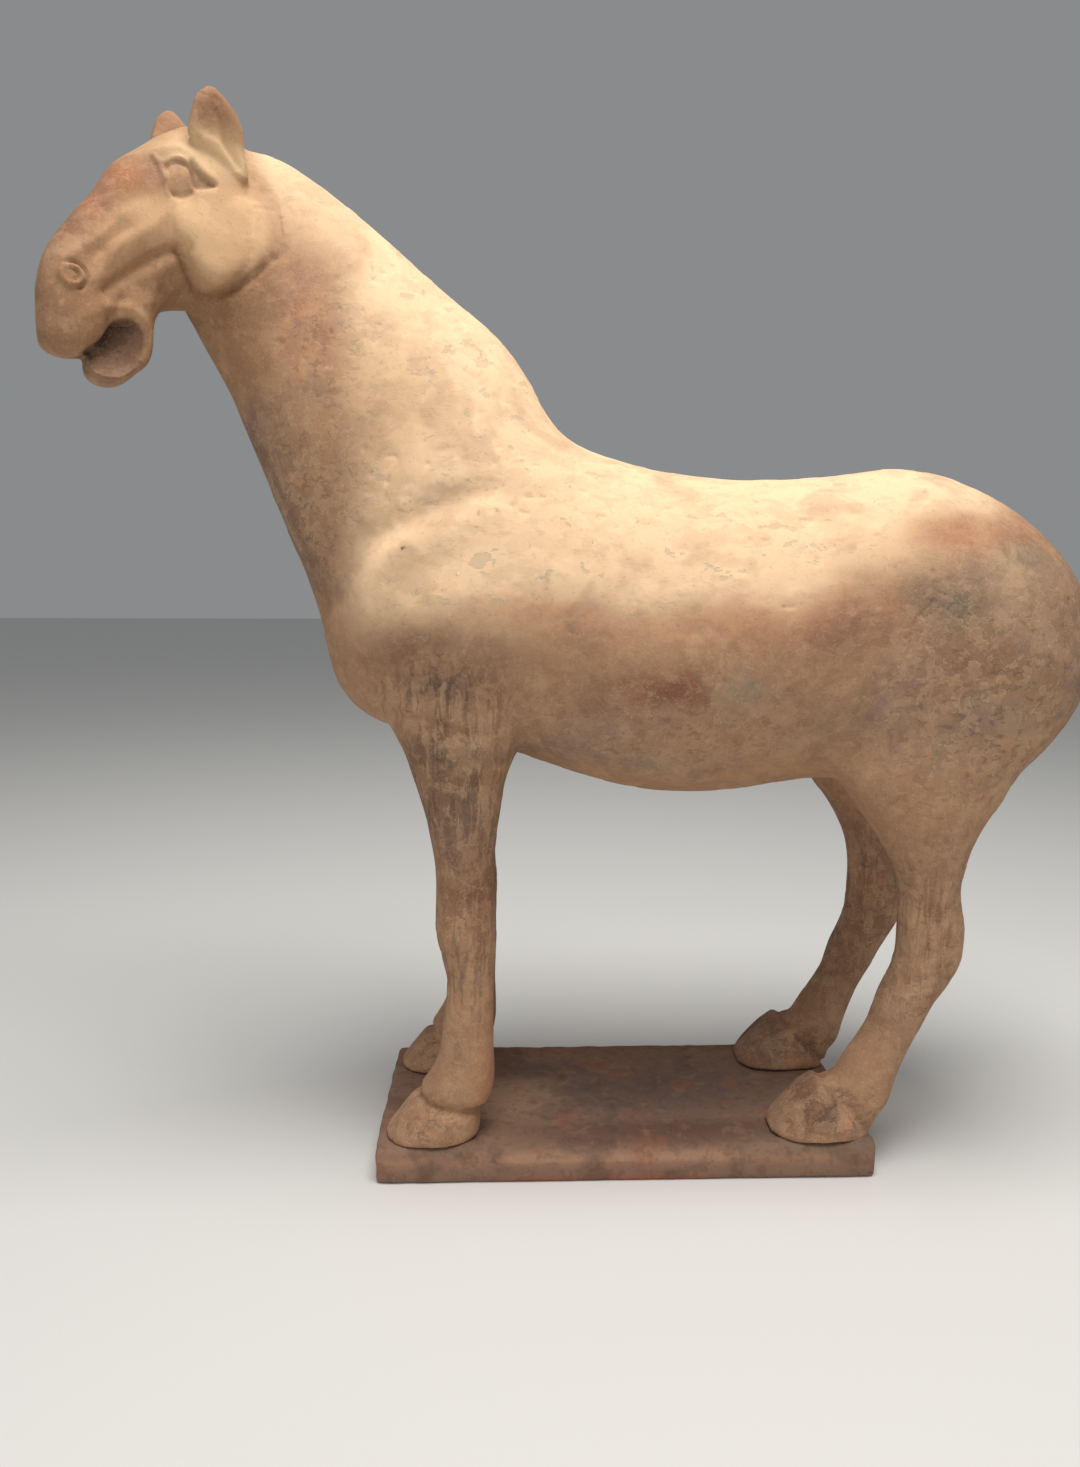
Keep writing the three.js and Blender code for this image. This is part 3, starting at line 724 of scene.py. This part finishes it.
flank_spots = points[body_side][:, [0, 2]]
relief = sum(strip(flank_spots, path, width, height) for path, width, height in BODY_STRIPS)
sideways = smooth_step(6, 34, np.abs(points[body_side, 1]))
points[body_side] += normals[body_side] * (sideways * relief)[:, None]
print("body relief on", int(body_side.sum()), "points")


# %% [markdown]
# ## Hand-made unevenness
# Fired clay is never quite even: hands leave slow waves, and the ground leaves pits and scabs of soil.
# Value noise gives both: random numbers on a lattice, blended smoothly between its corners.

# %% Noise and wear
LATTICE = 48
lattice_values = np.random.default_rng(7).random((LATTICE, LATTICE, LATTICE))


def lattice_noise(places, cell, offset=0.0):
    """Random values at the corners of cells of one size, mixed by 3s^2 - 2s^3 along each side; -1 to 1."""
    scaled = places / cell + offset
    corner = np.floor(scaled).astype(int)
    share = scaled - corner
    share = share * share * (3 - 2 * share)
    total = np.zeros(len(places))
    for i in (0, 1):
        for j in (0, 1):
            for k in (0, 1):
                step = np.array([i, j, k])
                weight = np.prod(np.where(step, share, 1 - share), axis=1)
                a, b, c = ((corner + step) % LATTICE).T
                total += weight * lattice_values[a, b, c]
    return 2 * total - 1


def clay_unevenness(places):
    """Slow waves of 45 and 17 mm, small ones of 6 mm, pits where a 5 mm noise peaks, and thin scabs."""
    waves = 0.55 * lattice_noise(places, 45, 3.1) + 0.3 * lattice_noise(places, 17, 9.7)
    grain = 0.14 * lattice_noise(places, 6, 1.3)
    pitted = smooth_step(-0.1, 0.5, lattice_noise(places, 38))
    pits = pitted * smooth_step(0.62, 0.85, lattice_noise(places, 5, 20.2))
    crust = lattice_noise(places * [1, 1, 0.8], 13, 5.5) + 0.3 * lattice_noise(places, 4)
    return waves + grain - 0.7 * pits + 0.3 * smooth_step(0.15, 0.32, crust)


normals = normals_of(points, faces)
head_place = in_head(points)
calm = 1 - 0.6 * smooth_step(-10, 15, head_place[:, 0])
points += normals * (calm * clay_unevenness(points))[:, None]
points[:, 2] = np.maximum(points[:, 2], SOLE)
print("unevenness of up to", round(float(np.abs(clay_unevenness(points[::500])).max()), 2), "mm")

# %% [markdown]
# ## The finished skin
# The fine squares are thinned with a decimate modifier, which leaves many small triangles where the form is
# busy, as on the face, and fewer on the calm flanks. One piece stays under 200,000 triangles.

# %% Horse piece
TRIANGLES = 190000
ready = modified(points, faces, "DECIMATE", {"ratio": min(1.0, TRIANGLES / (2 * len(faces)))})
ready.name = "horse_skin"
horse = placed("horse_skin", ready)
ready.shade_smooth()
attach(horse, "root")
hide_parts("horse")
print("horse piece", len(ready.vertices), "points", len(ready.polygons), "faces")

# %% [markdown]
# ## The plinth
# The plinth is a slab of clay with edges pressed up by hand. Its shape starts as a plain block, fused to an
# even skin, and the rims, the dish and the waver are pushed in by functions of x and y.

# %% Plinth skin
PLINTH_LONG = (plinth_high.x - plinth_low.x) / MM
PLINTH_WIDE = (plinth_high.y - plinth_low.y) / MM
PLINTH_TALL = plinth_high.z / MM
block = np.array([[x, y, z] for x in (-1, 1) for y in (-1, 1) for z in (0, 1)], float)
block *= [PLINTH_LONG / 2 - 1, PLINTH_WIDE / 2 - 1, PLINTH_TALL]
BLOCK_FACES = np.array([[0, 1, 3, 2], [4, 6, 7, 5], [0, 4, 5, 1], [2, 3, 7, 6], [0, 2, 6, 4], [1, 5, 7, 3]])
PLINTH_GRAIN = 1.6
slab_points, slab_faces = fused([(block, BLOCK_FACES)], PLINTH_GRAIN)
slab_edges = edges_of(slab_faces)
slab_points = relaxed(slab_points, slab_edges, np.full(len(slab_points), 0.5), 22)


def plinth_form(p):
    """Rims rise along the long edges, a shallow dish lies between, the front edge sinks between the hooves,
    and every edge wavers slowly."""
    x, y, z = p.T
    top = smooth_step(PLINTH_TALL - 12, PLINTH_TALL - 2, z)
    rim = np.exp(-(((np.abs(y) - (PLINTH_WIDE / 2 - 8)) / 6) ** 2))
    dish = smooth_step(PLINTH_WIDE / 2, 10, np.abs(y)) * smooth_step(PLINTH_LONG / 2, 40, np.abs(x))
    back_rim = 2.2 * rim * (y > 0) * (0.75 + 0.5 * lattice_noise(p * [1, 1, 0], 44))
    sunk = smooth_step(-50, -PLINTH_WIDE / 2, y) * smooth_step(100, 66, np.abs(x + 4))
    lift = back_rim + 0.8 * rim * (y < 0) - 2.0 * dish - 5.5 * sunk
    lump = 3.0 * np.exp(-(((x - 155) / 9) ** 2) - ((y + 72) / 9) ** 2)
    z = z + top * (lift + lump + 0.5 * lattice_noise(p, 14) + 0.3 * lattice_noise(p, 6))
    side = 1 + 0.006 * lattice_noise(p, 30, 4.4) + 0.004 * lattice_noise(p, 10, 2.2)
    return np.stack([x * side, y * side, z], -1)


slab_points = plinth_form(slab_points)
slab_points[:, 2] = np.maximum(slab_points[:, 2], 0)
print("plinth skin", len(slab_points), "points")

# %% Plinth piece
slab_mesh = mesh_of("plinth_slab", slab_points, slab_faces)
slab_mesh.shade_smooth()
plinth = placed("plinth_slab", slab_mesh)
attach(plinth, "root")
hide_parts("plinth")
print("plinth piece", len(slab_mesh.polygons), "faces")

# %% [markdown]
# ## Colours and shader nodes
# Colours are written as sRGB hex values, as a paint chart gives them, and one function turns them to the
# linear values that shaders use. One small function adds a node with its settings and links.


# %% Colour and node helpers
def linear(code):
    """sRGB hex to linear: c / 12.92 below 0.04045, else ((c + 0.055) / 1.055)^2.4."""
    values = [int(code[i : i + 2], 16) / 255 for i in (1, 3, 5)]
    return [c / 12.92 if c < 0.04045 else ((c + 0.055) / 1.055) ** 2.4 for c in values] + [1.0]


def add(tree, kind, values=None, **settings):
    """A node with settings by name, and inputs by name or number that are values or another node's output."""
    item = tree.nodes.new("ShaderNode" + kind)
    for name, value in settings.items():
        setattr(item, name, value)
    for key, value in (values or {}).items():
        if isinstance(value, bpy.types.NodeSocket):
            tree.links.new(value, item.inputs[key])
        else:
            item.inputs[key].default_value = value
    return item


# %% [markdown]
# ## Where the clay is light, dark or stained
# The slip is thick and cream on the back, the shoulder, the crest and the cheek. Below it the clay shows
# browner. Burial left a red-brown patch on the flank, grey ones on the haunch and dark streaks on the chest
# and leg. Each stain is a soft ellipse in side view, and the skin keeps the mixed colour as an attribute.
# Inside the mouth, in the eye socket and the hollow behind it, along the lower edge of the cheek plate and on
# the far hind leg the colour is darkened as painted shade. The cheek plate is cream slip lightened further
# by a painted highlight.

# %% Ground colour of the horse
final = points_of(ready)
x, y, z = final.T
wander = 7 * lattice_noise(final, 44, 6.0) + 3 * lattice_noise(final, 14, 2.0)

CLAY = "#a77f61"
CREAM = "#ecc9a2"
# Stains of both sides: [colour, x, z, reach along, reach up, strength]
STAINS = [
    ("#c18b67", 84, 364, 70, 14, 0.8),
    ("#b07f60", -20, 362, 60, 16, 0.5),
    ("#7d594a", 122, 358, 26, 15, 0.65),
    ("#845140", 22, 326, 34, 12, 0.9),
    ("#98836f", 63, 326, 14, 12, 0.8),
    ("#8a7462", 128, 306, 30, 16, 0.4),
    ("#86705d", 235, 362, 62, 52, 0.55),
    ("#665a4e", 186, 378, 22, 18, 0.85),
    ("#8d7c74", 168, 320, 22, 34, 0.5),
    ("#8d7b73", 292, 350, 14, 40, 0.5),
    ("#84735f", 232, 402, 26, 14, 0.8),
    ("#ad7757", 198, 420, 32, 12, 0.85),
    ("#8f664f", 200, 336, 42, 20, 0.6),
    ("#8c786d", 286, 340, 16, 26, 0.6),
    ("#97694d", 262, 424, 34, 16, 0.7),
    ("#806250", 284, 384, 28, 40, 0.55),
    ("#7f5b49", -126, 350, 34, 19, 0.85),
    ("#bf8b68", -60, 368, 50, 9, 0.5),
    ("#8f7d73", -20, 300, 40, 18, 0.4),
    ("#b18c62", 100, 268, 34, 12, 0.5),
    ("#7a5d4e", -124, 322, 32, 14, 0.8),
    ("#4f3b2f", -118, 276, 32, 26, 0.85),
    ("#6c5345", -112, 240, 28, 30, 0.55),
    ("#744835", -104, 192, 24, 34, 0.8),
    ("#a97654", -94, 62, 10, 40, 0.5),
    ("#7d685a", -50, 282, 34, 9, 0.6),
    ("#a57a52", -60, 268, 50, 8, 0.5),
    ("#8b7767", 15, 279, 60, 8, 0.55),
    ("#b18e72", 203, 298, 34, 26, 0.6),
    ("#8d6a55", 196, 200, 22, 34, 0.5),
    ("#8a6a55", 172, 110, 26, 30, 0.6),
    ("#5f3f31", 128, 40, 30, 16, 0.9),
    ("#8c5a45", -128, 34, 26, 12, 0.3),
    ("#c4835f", 140, 34, 7, 7, 0.7),
    ("#c08866", -206, 540, 20, 40, 0.6),
    ("#ab8262", -186, 470, 30, 56, 0.65),
    ("#b0875f", -148, 500, 26, 34, 0.4),
    ("#a37c61", -196, 408, 20, 26, 0.5),
]


def blend_to(base, colour, share):
    """Base colour moved towards another by a share that differs from point to point."""
    return base + share[:, None] * (np.array(linear(colour)[:3]) - base)


def stained(base, stains, across, up, power, held=1.0):
    """Each stain blended in by strength times exp(-(far^power)), where far is
    (dx / reach)^2 + (dz / reach)^2, times how much of the place holds stains."""
    for colour, cx, cz, rx, rz, strength in stains:
        far = ((across - cx) / rx) ** 2 + ((up - cz) / rz) ** 2
        base = blend_to(base, colour, strength * held * np.exp(-(far**power)))
    return base


ground = np.tile(linear(CLAY)[:3], (len(final), 1))
# The cream ends on the flank along a line that dips over the shoulder and climbs towards the rump.
SHOULDER_DIP = 12
RUMP_CLIMB = 0.5
level = z + wander + SHOULDER_DIP * np.exp(-(((x + 110) / 50) ** 2)) - RUMP_CLIMB * np.maximum(x - 90, 0)
back = smooth_step(340, 396, level)
below_crest = (519 - 0.83 * (x + 64) - z) / 1.3
behind_front = x + 201.5 + 0.385 * (z - 358)
neck = (0.12 + 0.66 * smooth_step(50, 8, below_crest + wander)) * smooth_step(400, 500, z)
cream = np.clip(np.where(x < -60, np.maximum(back * smooth_step(-196, -160, x), neck), back), 0, 1)
ground = blend_to(ground, CREAM, cream)
ground = stained(ground, STAINS, x + 1.2 * wander, z + wander, 1.3)
on_neck = smooth_step(365, 400, z) * (x < -100)
# Painted shade: the far hind leg, in the body's shadow, is darkened.
far_leg_painted_shade = smooth_step(20, 40, y) * smooth_step(262, 230, z) * smooth_step(-20, 60, x)
ground = blend_to(ground, "#6b4a39", 0.4 * far_leg_painted_shade)
patchy = smooth_step(-0.35, 0.35, lattice_noise(final, 26, 8.8))
neck_front = on_neck * smooth_step(46, 6, behind_front + wander)
ground = blend_to(ground, "#7a6052", neck_front * (0.35 + 0.5 * patchy))

# Face: [colour, forward, up, reach along, reach up, strength]
FACE_STAINS = [
    ("#d3a981", 24, 606, 34, 30, 0.9),
    ("#e2c096", 26, 640, 32, 16, 0.8),
    ("#7b5843", 98, 604, 24, 28, 0.85),
    ("#aa7150", 70, 620, 14, 12, 0.85),
    ("#a06d4f", 90, 600, 10, 14, 0.75),
    ("#94705a", 57, 624, 9, 13, 0.6),
    ("#d6ac82", 60, 600, 17, 12, 0.85),
    ("#c99f78", 78, 586, 14, 9, 0.8),
    ("#b78d6a", 76, 566, 22, 10, 0.6),
    ("#b58a66", 62, 546, 12, 12, 0.5),
    ("#8b6850", 38, 552, 30, 12, 0.6),
    ("#8c614a", 26, 668, 13, 12, 0.6),
]
head_final = in_head(final)
on_head_share = smooth_step(-14, 2, head_final[:, 0]) * smooth_step(495, 520, z)
face = np.tile(linear("#a07858")[:3], (len(final), 1))
face = stained(face, FACE_STAINS, head_final[:, 0] + 0.3 * wander, z + 0.3 * wander, 1.6)
face_spots = head_final[:, [0, 2]]
# Cream slip on the cheek plate, made lighter still as a painted highlight where the plate faces up and out.
face = blend_to(face, "#dbb389", plate(face_spots, CHEEK_OUTLINE, 7, 1.0))
# Painted shade: a dark line along the groove under the cheek plate's lower edge.
face = blend_to(face, "#8a6549", strip(face_spots, CHEEK_EDGE, 3.0, 0.75))
# Painted shade inside the mouth: the whole bowl is darkened, and darkest along BOWL_SHADE under the upper
# lip.
BOWL_SHADE = [(104, 516), (92, 527), (84, 537), (76, 541)]
within = plate(face_spots, BOWL_OUTLINE, 4, 1.0) * smooth_step(18, 14, np.abs(head_final[:, 1]))
face = blend_to(face, "#8a6a56", within)
face = blend_to(face, "#3d2920", within * strip(face_spots, BOWL_SHADE, 8, 1.0))
# Painted shade: the eye socket and the hollow behind the eye are darkened.
face = blend_to(face, "#a07b5e", 0.7 * plate(face_spots, SOCKET_OUTLINE, 3, 1.0))
face = blend_to(face, "#8b6b55", 0.7 * plate(face_spots, SOCKET_CORNER, 3, 1.0))
ground = ground + on_head_share[:, None] * (face - ground)


def keep_attribute(mesh, name, kind, values):
    """Stores a number or a colour on each point of the mesh."""
    attribute = mesh.attributes.new(name, kind, "POINT")
    field = "color" if kind == "FLOAT_COLOR" else "value"
    attribute.data.foreach_set(field, np.ascontiguousarray(values, np.float32).ravel())


keep_attribute(ready, "ground", "FLOAT_COLOR", np.column_stack([ground, np.ones(len(ground))]))
# Where soil streaks and flakes of slip show: [x, z, reach along, reach up, strength]
STREAKED = [[-118, 318, 42, 22, 1], [-110, 262, 40, 50, 1], [-105, 150, 26, 60, 0.6], [196, 170, 34, 60, 0.5]]
FLAKY = [[215, 310, 80, 70, 1], [-206, 440, 36, 60, 1], [-200, 520, 40, 50, 0.7], [190, 150, 40, 80, 0.7],
         [-110, 200, 40, 160, 0.5], [30, 300, 120, 44, 0.6], [150, 40, 60, 20, 0.8], [-130, 40, 40, 20, 0.8]]
keep_attribute(ready, "streaks", "FLOAT", bells(x, z, STREAKED).max(0))
flaky = bells(x, z, FLAKY).max(0) * (1 - on_head_share)
keep_attribute(ready, "flaky", "FLOAT", np.maximum(flaky, 0.06))
keep_attribute(ready, "cream", "FLOAT", cream * (1 - on_head_share))
print("ground colours on", len(final), "points")

# %% [markdown]
# ## Layers of paint, slip and soil
# A worn surface is a stack of layers, so the shader is one too. Each layer is a fractal noise turned into a
# soft or a sharp mask, which mixes one paint over the ones below and adds its own height to the bump. In
# that way light catches an edge exactly where it is drawn.


# %% Layer stack
def per_metre(millimetres):
    """Noise scale whose blobs are about this many millimetres across."""
    return 1.0 / (millimetres * MM)


def times(tree, first, second):
    """Product of two numbers or sockets."""
    return add(tree, "Math", {0: first, 1: second}, operation="MULTIPLY").outputs[0]


def mixed(tree, share, colour, paint):
    """Colour mixed towards a paint by a share."""
    return add(tree, "Mix", {0: share, 6: colour, 7: linear(paint)}, data_type="RGBA").outputs[2]


NOISE_LOOK = {"Roughness": 0.6, "Distortion": 0.4}
# Pale paint for a painted highlight along the edges of flakes and chips.
RIM_HIGHLIGHT = "#e8cfa9"


def stacked(tree, where, colour, layers):
    """For each row [size in mm, stretch in z, detail, low, high, strength, paint, lift, rim, attribute]: the
    mask is strength where noise goes from low to high, times the attribute; colour = mix, height = sum of
    mask * lift. Where the noise lies between low and high, a pale rim is mixed in by the rim's share as a
    painted highlight along the mask's edge."""
    height = 0.0
    for size, stretch, detail, low, high, strength, paint, lift, rim, held_by in layers:
        spots = add(tree, "Mapping", {"Vector": where, "Scale": (1, 1, 1 / stretch)}).outputs[0]
        shape = {"Vector": spots, "Scale": per_metre(size), "Detail": detail, **NOISE_LOOK}
        cloud = add(tree, "TexNoise", shape).outputs["Fac"]
        limits = {"Value": cloud, 1: low, 2: high, 4: strength}
        mask = add(tree, "MapRange", limits, interpolation_type="SMOOTHSTEP").outputs[0]
        held = add(tree, "Attribute", attribute_name=held_by).outputs["Fac"] if held_by else None
        if held_by:
            mask = times(tree, mask, held)
        colour = mixed(tree, mask, colour, paint)
        # The rim is a painted highlight along the mask's edge.
        if rim > 0:
            middle = {0: cloud, 1: (low + high) / 2, 2: abs(high - low) / 2}
            edge = times(tree, add(tree, "Math", middle, operation="COMPARE").outputs[0], rim)
            colour = mixed(tree, times(tree, edge, held) if held_by else edge, colour, RIM_HIGHLIGHT)
        height = add(tree, "Math", {0: mask, 1: lift, 2: height}, operation="MULTIPLY_ADD").outputs[0]
    return colour, height


BUMP_STRENGTH = 0.7
SPECULAR = 0.28


def clay_material(name, layers, rough, smooth, distance):
    """Principled shader over the ground colour and a stack of layers, with roughness that varies by noise."""
    material = bpy.data.materials.new(name)
    material.use_nodes = True
    tree = material.node_tree
    tree.nodes.clear()
    where = add(tree, "TexCoord").outputs["Object"]
    ground_node = add(tree, "Attribute", attribute_name="ground")
    colour, height = stacked(tree, where, ground_node.outputs["Color"], layers)
    rubbed = add(tree, "TexNoise", {"Vector": where, "Scale": per_metre(12), "Detail": 4}).outputs["Fac"]
    roughness = add(tree, "MapRange", {"Value": rubbed, 1: 0.35, 2: 0.65, 3: rough, 4: smooth}).outputs[0]
    bump = add(tree, "Bump", {"Height": height, "Distance": distance, "Strength": BUMP_STRENGTH}).outputs[0]
    inputs = {"Base Color": colour, "Roughness": roughness, "Normal": bump, "Specular IOR Level": SPECULAR}
    shader = add(tree, "BsdfPrincipled", inputs)
    add(tree, "OutputMaterial", {"Surface": shader.outputs[0]})
    return material


# %% [markdown]
# ## Unglazed earthenware with worn slip
# Low-fired clay is matt and porous, so it scatters light like chalk. The eye gets soft clouds from the
# fire, thin flakes of slip on the lower legs and haunch, small grey chips on the cream back, and soil
# streaks that run down. A pale line along the edges of the flakes and chips is a painted highlight.

# %% Fired clay material
CLAY_LAYERS = [
    [46, 1, 3, 0.50, 0.36, 0.26, "#7f5b47", 0, 0, None],
    [38, 1, 4, 0.52, 0.66, 0.20, "#d9b18a", 0, 0, None],
    [26, 0.6, 8, 0.52, 0.58, 0.13, "#8a6651", -0.3, 0, None],
    [20, 0.7, 8, 0.53, 0.57, 0.16, "#cfa57f", 0.4, 0, None],
    [9, 1, 7, 0.51, 0.63, 0.12, "#dcb991", 0.25, 0, None],
    [34, 1.2, 6, 0.52, 0.60, 0.40, "#8b776a", 0, 0, "flaky"],
    [12, 1, 9, 0.53, 0.545, 0.34, "#c49d7a", 0.9, 0.45, "flaky"],
    [8, 0.7, 9, 0.56, 0.575, 0.42, "#634b3c", -0.9, 0.3, "flaky"],
    [16, 0.7, 8, 0.625, 0.637, 0.45, "#b0a187", -0.5, 0.35, "cream"],
    [4.5, 9, 5, 0.50, 0.56, 0.65, "#594539", -0.2, 0, "streaks"],
    [5.5, 7, 5, 0.55, 0.60, 0.50, "#c09c7b", 0.3, 0, "streaks"],
    [3.2, 1, 3, 0.60, 0.72, 0.20, "#6b4e3b", -0.3, 0, None],
    [1.4, 1, 2, 0.45, 0.75, 0.10, "#f0d8b0", 0.15, 0, None],
]
ready.materials.append(clay_material("unglazed_earthenware", CLAY_LAYERS, 0.95, 0.8, 0.0012))
print(len(CLAY_LAYERS), "layers on the horse")

# %% [markdown]
# ## Umber plinth clay
# The slab fired darker and redder, with soil on top. The eye gets rims rubbed to buff, a pale oval of soil,
# rusty patches and a thin orange-red line along the bottom edge.

# %% Plinth material
slab_x, slab_y, slab_z = slab_points.T
slab_ground = np.tile(linear("#8b6d5a")[:3], (len(slab_points), 1))
# Places on the slab: [colour, x, y, reach along, reach across, strength]
SLAB_STAINS = [
    ("#65534a", 34, 8, 100, 50, 0.9),
    ("#9c7e66", -62, -5, 32, 30, 0.8),
    ("#5d4c43", -70, 38, 60, 14, 0.7),
    ("#84634f", 0, 74, 130, 10, 0.8),
    ("#5e4438", 34, -56, 110, 16, 0.85),
    ("#6a5d50", 130, -70, 50, 14, 0.6),
]
slab_wander = 8 * lattice_noise(slab_points, 22)
on_top = smooth_step(12, 17, slab_z)
slab_ground = stained(slab_ground, SLAB_STAINS, slab_x + slab_wander, slab_y, 1.4, on_top)
edge_rub = np.exp(-(((slab_z - 15) / 4) ** 2)) * smooth_step(-70, -78, slab_y)
slab_ground = blend_to(slab_ground, "#a67f66", 0.8 * edge_rub)
red_line = smooth_step(6, 1, slab_z) * smooth_step(-110, -60, slab_x) * smooth_step(70, 30, slab_x)
slab_ground = blend_to(slab_ground, "#b45f42", 0.7 * red_line)
keep_attribute(slab_mesh, "ground", "FLOAT_COLOR", np.column_stack([slab_ground, np.ones(len(slab_ground))]))

SLAB_LAYERS = [
    [40, 1, 4, 0.50, 0.38, 0.40, "#55443c", 0, 0, None],
    [26, 1, 5, 0.54, 0.66, 0.45, "#8f5a45", 0, 0, None],
    [10, 1, 7, 0.53, 0.62, 0.25, "#9a7a62", 0.3, 0, None],
    [7, 1, 7, 0.48, 0.38, 0.25, "#4a3a32", -0.3, 0, None],
    [2.6, 1, 3, 0.58, 0.7, 0.25, "#43352d", -0.25, 0, None],
]
slab_mesh.materials.append(clay_material("umber_earthenware", SLAB_LAYERS, 0.98, 0.85, 0.0015))
print(len(SLAB_LAYERS), "layers on the plinth")

# %% [markdown]
# ## Floor and light
# A plain pale floor and one large soft lamp overhead, as in a photo studio. The wide lamp gives the bright
# back and the soft shade under the belly that show the roundness of the body.

# %% Floor
FLOOR_REACH = 12.0
floor_mesh = bpy.data.meshes.new("floor")
corner = [(sx * FLOOR_REACH, sy * FLOOR_REACH, 0) for sx, sy in ((-1, -1), (1, -1), (1, 1), (-1, 1))]
floor_mesh.from_pydata(corner, [], [(0, 1, 2, 3)])
floor = placed("floor", floor_mesh)
floor_paint = bpy.data.materials.new("pale_floor")
floor_paint.use_nodes = True
floor_shader = floor_paint.node_tree.nodes["Principled BSDF"]
floor_shader.inputs["Base Color"].default_value = linear("#dddcd9")
floor_shader.inputs["Roughness"].default_value = 0.7
floor_mesh.materials.append(floor_paint)
print("floor", 2 * FLOOR_REACH, "m wide")


# %% Lamps and sky
def soft_lamp(name, place, aim, size, watts, colour):
    """Square lamp at a place, turned to an aim point."""
    data = bpy.data.lights.new(name, "AREA")
    data.size = size
    data.energy = watts
    data.color = linear(colour)[:3]
    item = placed(name, data)
    item.location = place
    item.rotation_euler = (Vector(aim) - Vector(place)).to_track_quat("-Z", "Y").to_euler()


soft_lamp("overhead", (0.1, -0.45, 1.9), (0, 0, 0.3), 1.1, 35, "#fffcf8")
soft_lamp("front_fill", (-0.9, -2.2, 0.9), (0, 0, 0.3), 1.4, 8, "#fffdf8")
sky = bpy.data.worlds.new("sky")
sky.use_nodes = True
background = sky.node_tree.nodes["Background"]
background.inputs["Color"].default_value = linear("#dfe2e4")
background.inputs["Strength"].default_value = 0.34
bpy.context.scene.world = sky
bpy.context.scene.view_settings.view_transform = "Standard"
print(len(bpy.data.lights), "lamps and a sky")
